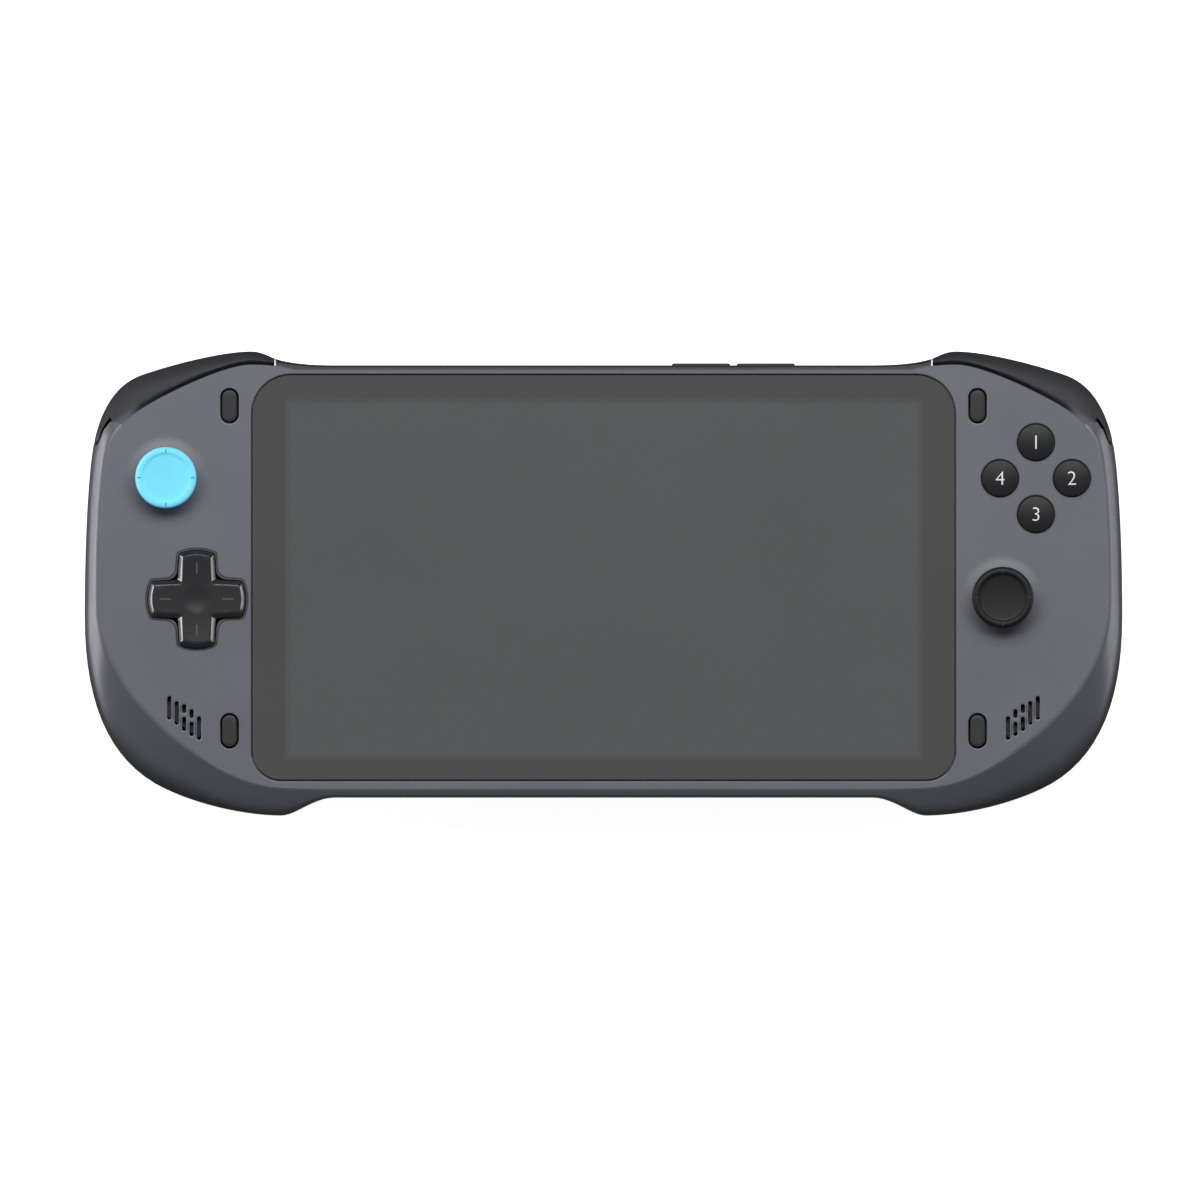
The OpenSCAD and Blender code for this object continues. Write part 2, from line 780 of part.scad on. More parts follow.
// Key board behind the top edge, with a switch for each key
edge_key_travel = 0.4;
edge_key_back = top_y - wall - move_gap - 1;
switch_y = edge_key_back - edge_key_travel - seat_gap;
switch_l = 1.1;
edge_key_places = [
    power_x, volume_x + volume_l / 2, volume_x + volume_gap + 1.5 * volume_l
];

module edge_key_board() {
    color("#1f5a3a") {
        box([power_x - power_l / 2 - 3, switch_y - switch_l - 1, floor_z + seat_gap],
            [volume_x + 2 * volume_l + volume_gap + 3, switch_y - switch_l, part_z + 0.6]);
        for (x = edge_key_places)
            translate([x, switch_y, edge_key_z])
                rotate([90, 0, 0])
                    cylinder(r = 1, h = switch_l + eps);
    }
}

port_board_z = port_z + usb_h / 2;
port_front = bottom_y + port_gap;
port_back = battery_bottom - 0.6;
port_board_usb_end = 4;
port_board_card_end = 2;

module port_board() {
    color("#1f5a3a")
        box([-usb_w - port_board_usb_end, bottom_y + wall + move_gap, port_board_z],
            [card_x + card_w / 2 + port_board_card_end, port_back, port_board_z + board_t]);
}

module stadium_along_y(w, h, y0, y1) {
    hull() {
        for (s = [-1, 1])
            translate([s * (w - h) / 2, y0, port_z])
                rotate([-90, 0, 0])
                    cylinder(d = h, h = y1 - y0, $fn = 32);
    }
}

module usb_port() {
    color("silver") {
        difference() {
            stadium_along_y(usb_w, usb_h, port_front, port_back);
            stadium_along_y(usb_w - 0.6, usb_h - 0.6, port_front - 1, port_back - 0.8);
        }
        box([-3.3, port_front + 0.8, port_z - 0.35], [3.3, port_back - 0.5, port_z + 0.35]);
    }
}

jack_l = 14;

module headphone_jack() {
    color("#2c2c2e")
        difference() {
            union() {
                translate([jack_x, port_front, port_z])
                    rotate([-90, 0, 0])
                        cylinder(r = jack_r, h = jack_l);
                box([jack_x - jack_r - 0.5, bottom_y + back_round + 0.5, port_z - jack_r],
                    [jack_x + jack_r + 0.5, port_front + jack_l, port_z + jack_r + 0.4]);
            }
            translate([jack_x, port_front - 1, port_z])
                rotate([-90, 0, 0])
                    cylinder(r = plug_r + run_gap, h = jack_l);
        }
}

module card_slot() {
    color("silver")
        difference() {
            box([card_x - card_w / 2, port_front, port_z - card_h / 2],
                [card_x + card_w / 2, port_back, port_z + card_h / 2]);
            box([card_x - card_w / 2 + 0.3, port_front - 1, port_z - card_h / 2 + 0.2],
                [card_x + card_w / 2 - 0.3, port_back - 0.5, port_z + card_h / 2 - 0.2]);
        }
    color("silver")
        box([card_x - card_w / 2, bottom_y + wall + move_gap, port_z + card_h / 2],
            [card_x + card_w / 2, port_back, port_board_z]);
}

speaker_l = 11;
speaker_w = 6.4;
speaker_h = 6;
speaker_place = [grille_middle[0] - 0.8, grille_middle[1] + 1];

module speaker(side) {
    color("#26272a")
        on_side(side)
            translate([speaker_place[0], speaker_place[1], plate_z - seat_gap - speaker_h])
                rotate([0, 0, atan(grille_slope)])
                    difference() {
                        translate([-speaker_l / 2, -speaker_w / 2, 0])
                            cube([speaker_l, speaker_w, speaker_h]);
                        translate([0, 0, speaker_h - 1])
                            cylinder(d = speaker_w - 1.4, h = 2);
                    }
}

screw_l = 8;

module case_screws() {
    color("#3c3d40")
        for (p = screw_places)
            translate([p[0], p[1], back_z + seat_gap])
                difference() {
                    union() {
                        cylinder(r = screw_head_r, h = screw_head_h);
                        cylinder(d = screw_d, h = screw_l);
                    }
                    for (a = [0, 90])
                        rotate([0, 0, a])
                            cube([2.2, 0.5, 1.1], center = true);
                }
}

// Gimbal of a stick, about the pivot
base_half = 8;
base_h = 4;
flange_t = 1.2;
flange_r = stick_hole_r + 1.4;
flange_z = control_z - board_t - flange_t;
ear_in = 5.4;
ear_t = 1.4;
ear_half = 1.6;
pivot_pin_r = 0.6;
yoke_r = 4.9;
yoke_in = 3.3;
yoke_half = 1;
rocker_r = 2.5;
rocker_half = 1.5;
neck_r = 2.6;
skirt_t = 0.8;
skirt_angle = 66;

module at_stick(place) {
    translate([place[0], place[1], pivot_z])
        children();
}

module pin_along_x(r, x0, x1) {
    translate([x0, 0, 0])
        rotate([0, 90, 0])
            cylinder(r = r, h = x1 - x0, $fn = 24);
}

module stick_base(place) {
    rise = flange_z - pivot_z;
    color("#3a3b3e")
        at_stick(place)
            difference() {
                union() {
                    box([-base_half, -base_half, rise - base_h], [base_half, base_half, rise + eps]);
                    translate([0, 0, rise])
                        cylinder(r = flange_r, h = flange_t);
                    for (s = [-1, 1])
                        box([s * (ear_in + ear_t / 2) - ear_t / 2, -ear_half, rise],
                            [s * (ear_in + ear_t / 2) + ear_t / 2, ear_half, ear_half]);
                }
                translate([0, 0, rise - 1.6])
                    cylinder(r = ear_in - 0.1, h = 1.6 + flange_t + eps);
                pin_along_x(pivot_pin_r + run_gap, -base_half, base_half);
            }
}

module stick_yoke(place) {
    color("#8f9296")
        at_stick(place)
            difference() {
                union() {
                    translate([0, 0, -yoke_half])
                        cylinder(r = yoke_r, h = 2 * yoke_half);
                    pin_along_x(pivot_pin_r, -ear_in - ear_t, ear_in + ear_t);
                }
                translate([0, 0, -2 * yoke_half])
                    cylinder(r = yoke_in, h = 4 * yoke_half);
                rotate([0, 0, 90])
                    pin_along_x(pivot_pin_r + run_gap, -yoke_r - 1, yoke_r + 1);
            }
}

module stick_rocker(place) {
    color("#d8d8da")
        at_stick(place)
            difference() {
                union() {
                    translate([0, 0, -rocker_half])
                        cylinder(r = rocker_r, h = 2 * rocker_half);
                    rotate([0, 0, 90])
                        pin_along_x(pivot_pin_r, -yoke_r + 0.3, yoke_r - 0.3);
                }
                translate([0, 0, -2 * rocker_half])
                    cylinder(d = stem_d + 2 * run_gap, h = 4 * rocker_half);
            }
}

stem_low = rocker_half + 0.3;
stem_in_cap = 1.2;

module stick_stem(place) {
    color("#d8d8da")
        at_stick(place)
            translate([0, 0, -stem_low])
                cylinder(d = stem_d, h = stem_low + cap_z + stem_in_cap - pivot_z);
}

// Profile of a stick's cap, from its axis out
function cap_profile(r, t) = [
    [0, 0], [r - 0.9, 0], [r - 0.2, 0.4], [r, 1], [r, t - 0.9], [r - 0.3, t - 0.3], [r - 0.9, t],
    [0.8 * r, t], [0.74 * r, t - 0.25], [0.4 * r, t - 0.65], [0, t - 0.75]
];

function skirt_arc(r) = [for (a = [0 : 6 : skirt_angle]) [r * sin(a), r * cos(a)]];

module stick_cap(place, shade) {
    color(shade)
        at_stick(place)
            difference() {
                union() {
                    translate([0, 0, cap_z - pivot_z])
                        rotate_extrude()
                            polygon(cap_profile(cap_d / 2, cap_t));
                    translate([0, 0, skirt_r - 0.4])
                        cylinder(r = neck_r, h = cap_z - pivot_z - skirt_r + 0.4 + eps);
                    rotate_extrude()
                        polygon(concat(skirt_arc(skirt_r), reversed(skirt_arc(skirt_r - skirt_t))));
                }
                translate([0, 0, 1])
                    cylinder(d = stem_d + 2 * run_gap, h = cap_z + stem_in_cap - pivot_z - 1);
            }
}

// The D-pad rocks on a bead that sits on a post
bead_r = 1.8;
bead_z = face_z - 2;
dpad_flange = 8.4;
dpad_flange_z = control_z + 1.7;
dpad_arm_z = control_z + 2.3;
dpad_top = face_z + dpad_rise;
dpad_bevel = 1.2;
sheet_t = 0.4;

module dpad_arm() {
    hull() {
        box([-dpad_l, -dpad_w / 2, dpad_arm_z], [dpad_l, dpad_w / 2, face_z + 0.7]);
        box([-dpad_l + dpad_bevel, -dpad_w / 2 + dpad_bevel, face_z],
            [dpad_l - dpad_bevel, dpad_w / 2 - dpad_bevel, dpad_top]);
    }
}

module dpad() {
    color("#3d3e41")
        translate([dpad_place[0], dpad_place[1], 0])
            difference() {
                union() {
                    intersection() {
                        union() {
                            dpad_arm();
                            rotate([0, 0, 90])
                                dpad_arm();
                        }
                        translate([0, 0, control_z])
                            cylinder(r = dpad_l, h = dpad_top - control_z + 1);
                    }
                    box([-dpad_flange, -dpad_flange, dpad_flange_z],
                        [dpad_flange, dpad_flange, dpad_flange_z + 1]);
                }
                translate([0, 0, control_z])
                    cylinder(r = 2 * bead_r, h = bead_z - 0.6 - control_z);
                translate([0, 0, bead_z])
                    sphere(bead_r + run_gap);
                translate([0, 0, dpad_top + 8.6])
                    sphere(9);
            }
}

module dpad_bead() {
    color("silver")
        translate([dpad_place[0], dpad_place[1], bead_z])
            sphere(bead_r);
}

module dpad_post() {
    color("#8f9296")
        translate([dpad_place[0], dpad_place[1], 0])
            difference() {
                translate([0, 0, control_z])
                    cylinder(r = bead_r - 0.3, h = bead_z - 0.4 - control_z);
                translate([0, 0, bead_z])
                    sphere(bead_r + run_gap);
            }
}

module dpad_pad() {
    reach = dpad_flange - 1.6;
    color("#77797d")
        translate([dpad_place[0], dpad_place[1], control_z])
            difference() {
                union() {
                    box([-dpad_flange, -dpad_flange, 0], [dpad_flange, dpad_flange, sheet_t]);
                    for (w = action_ways)
                        translate([reach * w[0], reach * w[1], 0])
                            cylinder(r1 = 2.2, r2 = 1.4, h = dpad_flange_z - pad_gap - control_z);
                }
                translate([0, 0, -1])
                    cylinder(r = bead_r + 0.4, h = sheet_t + 2);
            }
}

// Round buttons and pill keys, each with a flange that stops it under the front plate
flange_top = plate_z - move_gap;
action_flange_t = 1.2;
dome_r = 14;
pill_flange_t = 1;

module action_button(way) {
    top = face_z + action_rise;
    foot = flange_top - action_flange_t;
    color("#36373a")
        at_plan(action_place + action_pitch * way, 0) {
            intersection() {
                translate([0, 0, foot])
                    cylinder(d = action_d, h = top - foot);
                translate([0, 0, top - dome_r])
                    sphere(dome_r);
            }
            translate([0, 0, foot])
                cylinder(d = action_d + 1.4, h = action_flange_t);
        }
}

module action_pad() {
    foot = flange_top - action_flange_t - pad_gap;
    color("#77797d")
        for (w = action_ways)
            at_plan(action_place + action_pitch * w, control_z) {
                cylinder(r = action_d / 2, h = sheet_t);
                cylinder(r1 = 3.4, r2 = 2, h = foot - control_z);
            }
}

module pill_solid(grow, z0, z1) {
    reach = (pill_l - pill_w) / 2;
    slot([0, reach], [0, -reach], pill_w + 2 * grow, z0, z1);
}

module pill_key(place) {
    color("#434448")
        translate([place[0], place[1], 0]) {
            pill_solid(0, flange_top - pill_flange_t, face_z + pill_rise);
            pill_solid(0.7, flange_top - pill_flange_t, flange_top);
        }
}

module pill_pads() {
    color("#77797d")
        for (p = pill_places)
            translate([p[0], p[1], control_z])
                cylinder(r1 = 2, r2 = 1.4, h = flange_top - pill_flange_t - pad_gap - control_z);
}

// A key of the top edge, between two places along the edge, with a lip behind the wall
key_lip = 0.6;

module edge_key(x0, x1, rise) {
    r = edge_key_t / 2;
    color("#36373a") {
        box([x0, edge_key_back, edge_key_z - r], [x1, top_y + rise, edge_key_z + r]);
        box([x0 - key_lip, edge_key_back, edge_key_z - r - key_lip],
            [x1 + key_lip, edge_key_back + 1, edge_key_z + r + key_lip]);
    }
}

// A bumper turns on a pin at its inner end
bumper_pin = [glass_x - 2, top_y - 3.5];
bumper_pin_r = 1;
lug_r = 1.9;
arm_t = 1.6;
lug_z0 = floor_z + seat_gap + arm_t + 1 + move_gap;
lug_z1 = plate_z - arm_t - move_gap;
bumper_edge = 0.5;

function bumper_ring(t, d, z) =
    at_z(concat(part_of(inset(outline(t), d), steps, 4 * steps),
        reversed(part_of(face_inset(bumper_tuck), steps, 4 * steps))), z);

module bumper(side) {
    upper = [for (a = reversed(side_angles)) if (side_z(a) > part_z + 0.1 && side_z(a) < bumper_top - 0.3) a];
    color("#303134")
        on_side(side) {
            loft(concat(
                [bumper_ring(1, bumper_edge, bumper_z), bumper_ring(1, 0, bumper_z + bumper_edge),
                    bumper_ring(1, 0, part_z)],
                [for (a = upper) bumper_ring(side_t(a), 0, side_z(a))],
                [bumper_ring(side_t(side_angle_at(bumper_top)), 0, bumper_top)]
            ), strip = true);
            translate([bumper_pin[0], bumper_pin[1], lug_z0])
                cylinder(r = lug_r, h = lug_z1 - lug_z0);
            box([bumper_pin[0] - 1.4, bumper_pin[1], lug_z0], [bumper_pin[0] + 1.4, top_y - 0.6, lug_z1]);
            translate([bumper_pin[0], bumper_pin[1], lug_z0 - arm_t])
                cylinder(r = bumper_pin_r, h = lug_z1 - lug_z0 + 2 * arm_t);
        }
}

module bumper_bracket(side) {
    x0 = bumper_pin[0] - 2.6;
    x1 = bumper_pin[0] + 2.6;
    y0 = bumper_pin[1] - 3.4;
    y1 = bumper_pin[1] + 1.4;
    color("#8f9296")
        on_side(side)
            difference() {
                union() {
                    box([x0, y0, floor_z + seat_gap], [x1, y0 + 1, plate_z]);
                    box([x0, y0, lug_z0 - move_gap - arm_t], [x1, y1, lug_z0 - move_gap]);
                    box([x0, y0, lug_z1 + move_gap], [x1, y1, plate_z]);
                }
                translate([bumper_pin[0], bumper_pin[1], floor_z])
                    cylinder(r = bumper_pin_r + run_gap, h = face_z - floor_z, $fn = 32);
            }
}

// Side view of a trigger from its pin: centres and radii of its round corners
trigger_corners = [[0, 0, 2.4], [4.6, 0.5, 2.3], [5, -5.4, 2.1], [2.9, -9, 1.5]];

module trigger_view() {
    for (k = [0, 1])
        hull() {
            for (c = [trigger_corners[k], trigger_corners[k + 1], trigger_corners[k + 2]])
                translate([c[0], c[1]])
                    circle(c[2]);
        }
}

module trigger(side) {
    color("#303134")
        on_side(side)
            translate([trigger_x0, trigger_y, trigger_z])
                rotate([90, 0, 90])
                    difference() {
                        linear_extrude(trigger_w)
                            trigger_view();
                        translate([0, 0, -1])
                            cylinder(d = trigger_pin_d + 2 * run_gap, h = trigger_w + 2);
                    }
}

module trigger_pin(side) {
    color("silver")
        on_side(side)
            translate([trigger_x0 - move_gap - cheek_t, trigger_y, trigger_z])
                rotate([0, 90, 0])
                    cylinder(d = trigger_pin_d, h = trigger_w + 2 * (move_gap + cheek_t));
}

front_shell();
rear_shell();
cover_glass();
display_panel();
midframe();
main_board();
heat_spreader();
battery();
battery_lead();
display_ribbon();
side_ribbon(-1);  // left_ribbon
side_ribbon(1);  // right_ribbon
port_board();
usb_port();
headphone_jack();
card_slot();
edge_key_board();
control_board(-1, left_stick);  // left_control_board
control_board(1, right_stick);  // right_control_board
speaker(-1);  // left_speaker
speaker(1);  // right_speaker
stick_base(left_stick);  // left_stick_base
stick_base(right_stick);  // right_stick_base
stick_yoke(left_stick);  // left_stick_yoke
stick_yoke(right_stick);  // right_stick_yoke
stick_rocker(left_stick);  // left_stick_rocker
stick_rocker(right_stick);  // right_stick_rocker
stick_stem(left_stick);  // left_stick_stem
stick_stem(right_stick);  // right_stick_stem
stick_cap(left_stick, "#70cff4");  // left_stick_cap
stick_cap(right_stick, "#2c2e30");  // right_stick_cap
dpad();
dpad_bead();
dpad_post();
dpad_pad();
action_button(action_ways[0]);  // action_top
action_button(action_ways[1]);  // action_right
action_button(action_ways[2]);  // action_bottom
action_button(action_ways[3]);  // action_left
action_pad();
pill_key(pill_places[0]);  // upper_left_key
pill_key(pill_places[1]);  // upper_right_key
pill_key(pill_places[2]);  // lower_left_key
pill_key(pill_places[3]);  // lower_right_key
pill_pads();
edge_key(volume_x, volume_x + volume_l, edge_key_rise);  // volume_down
edge_key(volume_x + volume_l + volume_gap, volume_x + 2 * volume_l + volume_gap, edge_key_rise);  // volume_up
edge_key(power_x - power_l / 2, power_x + power_l / 2, 0);  // power_key
bumper(-1);  // left_bumper
bumper(1);  // right_bumper
bumper_bracket(-1);  // left_bumper_bracket
bumper_bracket(1);  // right_bumper_bracket
trigger(-1);  // left_trigger
trigger(1);  // right_trigger
trigger_pin(-1);  // left_trigger_pin
trigger_pin(1);  // right_trigger_pin
case_screws();
board_screws();
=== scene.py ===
"""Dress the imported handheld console: smooth shells, controls, finishes, studio and camera.

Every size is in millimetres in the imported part's own frame, and becomes metres where a mesh is made.
"""

import logging
import math
from dataclasses import dataclass, field
from enum import Enum
from typing import Callable, Dict, List, Optional, Sequence, Tuple, Union

import bmesh
import bpy
import numpy as np
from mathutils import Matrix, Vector
from mathutils.geometry import delaunay_2d_cdt


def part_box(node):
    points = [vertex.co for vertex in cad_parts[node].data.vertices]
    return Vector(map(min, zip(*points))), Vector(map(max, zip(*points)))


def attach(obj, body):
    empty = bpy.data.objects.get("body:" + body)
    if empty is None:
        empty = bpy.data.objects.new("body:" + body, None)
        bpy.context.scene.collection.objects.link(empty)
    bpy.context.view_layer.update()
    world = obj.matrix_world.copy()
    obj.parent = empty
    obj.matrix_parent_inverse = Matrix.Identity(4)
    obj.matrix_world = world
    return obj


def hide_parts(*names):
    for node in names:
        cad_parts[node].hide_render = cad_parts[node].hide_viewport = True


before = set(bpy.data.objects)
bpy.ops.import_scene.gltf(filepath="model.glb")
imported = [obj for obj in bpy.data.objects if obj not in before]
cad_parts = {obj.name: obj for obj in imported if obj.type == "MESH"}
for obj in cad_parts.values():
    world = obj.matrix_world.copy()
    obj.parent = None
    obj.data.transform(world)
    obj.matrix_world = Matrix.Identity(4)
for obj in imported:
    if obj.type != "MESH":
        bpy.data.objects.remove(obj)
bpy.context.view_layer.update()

MM = 0.001
LOG = logging.getLogger("console")
SMOOTH_ANGLE = 38.0

Colour = Tuple[float, float, float]
Point = Tuple[float, float, float]
Pair = Tuple[float, float]
Pairs = Tuple[Pair, ...]
Loop = np.ndarray
Number = Union[int, float]


class Body(str, Enum):
    """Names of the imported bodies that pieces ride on."""

    CHASSIS = "chassis"
    DPAD = "dpad"


class Side(Enum):
    """Which half of the console a piece belongs to."""

    LEFT = -1
    RIGHT = 1

    @property
    def word(self) -> str:
        """The side's name in lower case."""
        return self.name.lower()


class Sock:
    """A shader socket, or a number, that Python's operators turn into Math nodes."""

    def __init__(self, tree: "ShaderTree", value: Union["bpy.types.NodeSocket", Number]) -> None:
        """Keep the tree that new nodes go into, and the socket or number."""
        self.tree = tree
        self.value = value

    def _math(self, operation: str, *others: Union["Sock", Number]) -> "Sock":
        """Add one Math node.

        Args:
            operation: the node's operation.
            others: the further operands, as sockets or numbers.

        Returns:
            The node's result.
        """
        inputs = dict(enumerate((self, *others)))
        return self.tree.add("ShaderNodeMath", {"operation": operation}, inputs, "Value")

    def __add__(self, other: Union["Sock", Number]) -> "Sock":
        """Sum."""
        return self._math("ADD", other)

    def __radd__(self, other: Number) -> "Sock":
        """Sum with a number in front."""
        return self._math("ADD", other)

    def __sub__(self, other: Union["Sock", Number]) -> "Sock":
        """Difference."""
        return self._math("SUBTRACT", other)

    def __rsub__(self, other: Number) -> "Sock":
        """Difference from a number in front."""
        return Sock(self.tree, other)._math("SUBTRACT", self)

    def __mul__(self, other: Union["Sock", Number]) -> "Sock":
        """Product."""
        return self._math("MULTIPLY", other)

    def __rmul__(self, other: Number) -> "Sock":
        """Product with a number in front."""
        return self._math("MULTIPLY", other)

    def __truediv__(self, other: Union["Sock", Number]) -> "Sock":
        """Quotient."""
        return self._math("DIVIDE", other)

    def __rtruediv__(self, other: Number) -> "Sock":
        """Quotient with a number in front."""
        return Sock(self.tree, other)._math("DIVIDE", self)

    def absolute(self) -> "Sock":
        """Size without the sign."""
        return self._math("ABSOLUTE")

    def most(self, other: Union["Sock", Number]) -> "Sock":
        """The larger of two values."""
        return self._math("MAXIMUM", other)

    def step(self, low: Number, high: Number) -> "Sock":
        """Smooth step that is 0 at low and 1 at high.

        Args:
            low: the value where the step starts.
            high: the value where it ends; it may be below low.

        Returns:
            The share of the step.
        """
        settings = {"interpolation_type": "SMOOTHSTEP"}
        ends = (0.0, 1.0) if low < high else (1.0, 0.0)
        inputs = {"Value": self, "From Min": min(low, high), "From Max": max(low, high),
                  "To Min": ends[0], "To Max": ends[1]}
        return self.tree.add("ShaderNodeMapRange", settings, inputs, "Result")


class ShaderTree:
    """A material's node tree with one method that adds any node."""

    def __init__(self, name: str) -> None:
        """Make an empty material with a shader and an output.

        Args:
            name: the material's name.
        """
        self.material = bpy.data.materials.new(name)
        self.material.use_nodes = True
        self.nodes = self.material.node_tree.nodes
        self.links = self.material.node_tree.links
        self.nodes.clear()
        self.shader = self.nodes.new("ShaderNodeBsdfPrincipled")
        output = self.nodes.new("ShaderNodeOutputMaterial")
        self.links.new(self.shader.outputs["BSDF"], output.inputs["Surface"])

    def plug(self, socket: "bpy.types.NodeSocket", value: object) -> None:
        """Give an input its link or its constant.

        Args:
            socket: the input.
            value: a Sock, a number, or a tuple for a colour or vector.
        """
        if isinstance(value, Sock):
            value = value.value
        if isinstance(value, bpy.types.NodeSocket):
            self.links.new(value, socket)
        elif isinstance(value, tuple) and socket.type == "RGBA" and len(value) == 3:
            socket.default_value = (*value, 1.0)
        else:
            socket.default_value = value

    def add(self, kind: str, settings: Dict[str, object], inputs: Dict[Union[str, int], object],
            output: Union[str, int] = 0) -> Sock:
        """Add a node.

        Args:
            kind: the node's type.
            settings: its properties, which are set first.
            inputs: values or links by socket name or number.
            output: the socket to hand back.

        Returns:
            The chosen output.
        """
        node = self.nodes.new(kind)
        for key, value in settings.items():
            setattr(node, key, value)
        for key, value in inputs.items():
            self.plug(node.inputs[key], value)
        return Sock(self, node.outputs[output])

    def position(self) -> Sock:
        """Object coordinates, in metres."""
        return self.add("ShaderNodeTexCoord", {}, {}, "Object")

    def axes(self) -> Tuple[Sock, Sock, Sock]:
        """The three object coordinates, each in metres."""
        first = self.add("ShaderNodeSeparateXYZ", {}, {0: self.position()})
        return tuple(Sock(self, socket) for socket in first.value.node.outputs)

    def noise(self, size: float, detail: float = 3.0, rough: float = 0.55) -> Sock:
        """Noise whose features are about the given size in millimetres, from 0 to 1.

        Args:
            size: the features' size.
            detail: octaves of finer noise.
            rough: the strength of the finer octaves.

        Returns:
            The noise value.
        """
        inputs = {"Vector": self.position(), "Scale": 1.0 / (size * MM),
                  "Detail": detail, "Roughness": rough}
        return self.add("ShaderNodeTexNoise", {}, inputs, "Fac")

    def mix(self, share: Union[Sock, Number], first: object, second: object) -> Sock:
        """Mix two colours.

        Args:
            share: how much of the second colour.
            first: a colour or a link.
            second: a colour or a link.

        Returns:
            The mixed colour.
        """
        return self.add("ShaderNodeMix", {"data_type": "RGBA"}, {0: share, 6: first, 7: second}, 2)

    def bump(self, height: Sock, distance: float) -> Sock:
        """A normal from a height.

        Args:
            height: the height, from 0 to 1.
            distance: what a height of 1 stands for, in millimetres.

        Returns:
            The bumped normal.
        """
        inputs = {"Strength": 1.0, "Distance": distance * MM, "Height": height}
        return self.add("ShaderNodeBump", {}, inputs, "Normal")

    def finish(self, **sockets: object) -> bpy.types.Material:
        """Set the shader's sockets and hand back the material.

        Args:
            sockets: values or links by socket name, with _ for a space.

        Returns:
            The finished material.
        """
        for name, value in sockets.items():
            self.plug(self.shader.inputs[name.replace("_", " ")], value)
        return self.material


@dataclass(frozen=True)
class MouldedPlastic:
    """Moulded plastic with a spark-eroded grain, slight mottling and uneven gloss."""

    name: str
    colour: Colour
    rough: float = 0.5
    grain: float = 0.35
    depth: float = 0.012
    mottle: float = 0.08
    specular: float = 0.5

    def make(self) -> bpy.types.Material:
        """Build the material.

        Returns:
            The finished material.
        """
        tree = ShaderTree(self.name)
        broad = tree.noise(26.0, 2.0)
        grain = tree.noise(self.grain, 2.0, 0.6)
        dark = tuple(c * (1.0 - self.mottle) for c in self.colour)
        pale = tuple(c * (1.0 + self.mottle) for c in self.colour)
        shade = self.tint(tree, tree.mix(broad * 0.6 + grain * 0.4, dark, pale))
        rough = broad * 0.10 + grain * 0.06 + (self.rough - 0.08)
        return tree.finish(
            Base_Color=shade, Roughness=rough, Normal=tree.bump(grain, self.depth),
            Specular_IOR_Level=self.specular,
        )

    def tint(self, tree: ShaderTree, shade: Sock) -> Sock:
        """The final colour; one colour all over here."""
        return shade


@dataclass(frozen=True)
class RimmedPlastic(MouldedPlastic):
    """Moulded plastic with painted shade: darker skirt and rim on the rounded side, and near-black openings
    and top edge.
    """

    # skirt, rim and hollow are painted shade: on the rounded side, at its foot, and in the openings and along
    # the top edge.
    skirt: Colour = (0.081, 0.083, 0.104)
    rim: Colour = (0.030, 0.031, 0.035)
    hollow: Colour = (0.014, 0.014, 0.016)
    face: Pair = (32.72, 32.96)
    fade: Pair = (27.0, 29.9)
    top_fade: Pair = (32.78, 32.99)
    side_y: Pair = (-24.0, -4.0)
    side_drop: float = 1.3
    top_y: float = 49.0
    top_x: float = 81.0
    top_edge: Pair = (51.9, 52.7)
    top_turn: float = 75.3
    top_slope: float = 0.2
    bumper_end: Pair = (99.0, 34.5)
    corner: Pair = (83.0, -6.0)
    reach: float = 36.5

    def tint(self, tree: ShaderTree, shade: Sock) -> Sock:
        """The colour with painted shade: the darker skirt outside the face, the darker rim below it, and
        near-black openings and top edge.

        Args:
            tree: the material's tree.
            shade: the mottled colour of the face.

        Returns:
            The colour by place.
        """
        x, y, z = tree.axes()
        x = x.absolute()
        on_top = (y.step(self.top_y * MM, (self.top_y + 1) * MM)
                  * x.step(self.top_x * MM, (self.top_x - 0.5) * MM))
        beside = (x - self.corner[0] * MM).most(0.0)
        below = (self.corner[1] * MM - y).most(0.0)
        away = beside * beside + below * below
        outside = away.step((self.reach * MM) ** 2, ((self.reach + 0.5) * MM) ** 2).most(on_top)
        sunk = z.step(self.face[1] * MM, self.face[0] * MM)
        # Painted shade: the skirt darkens the rounded side below the face along the sides, the bottom and the
        # top.
        shade = tree.mix(outside * sunk, shade, self.skirt)
        end_x, end_y = self.bumper_end
        at_bumper = x.step(end_x * MM, (end_x + 2) * MM) * y.step(end_y * MM, (end_y + 1) * MM)
        # Painted shade: near-black where the surface sinks below the face inside its reach, in the openings,
        # the glass recess and the step beside the bumper.
        shade = tree.mix((1.0 - outside.most(at_bumper)) * sunk, shade, self.hollow)
        # Painted shade: the rim darkens the foot of the rounded side, and reaches further up on the lower
        # part of each side.
        low, high = (on_top * ((top - side) * MM) + side * MM
                     for side, top in zip(self.fade, self.top_fade))
        drop = (1.0 - on_top) * y.step(self.side_y[0] * MM, self.side_y[1] * MM) * (self.side_drop * MM)
        shade = tree.mix(((z - low + drop) / (high - low)).step(0.0, 1.0), self.rim, shade)
        # Painted shade: the top edge turns near-black.
        level = y - (x - self.top_turn * MM).most(0.0) * self.top_slope
        edge = on_top * level.step(self.top_edge[0] * MM, self.top_edge[1] * MM)
        return tree.mix(edge, shade, self.hollow)


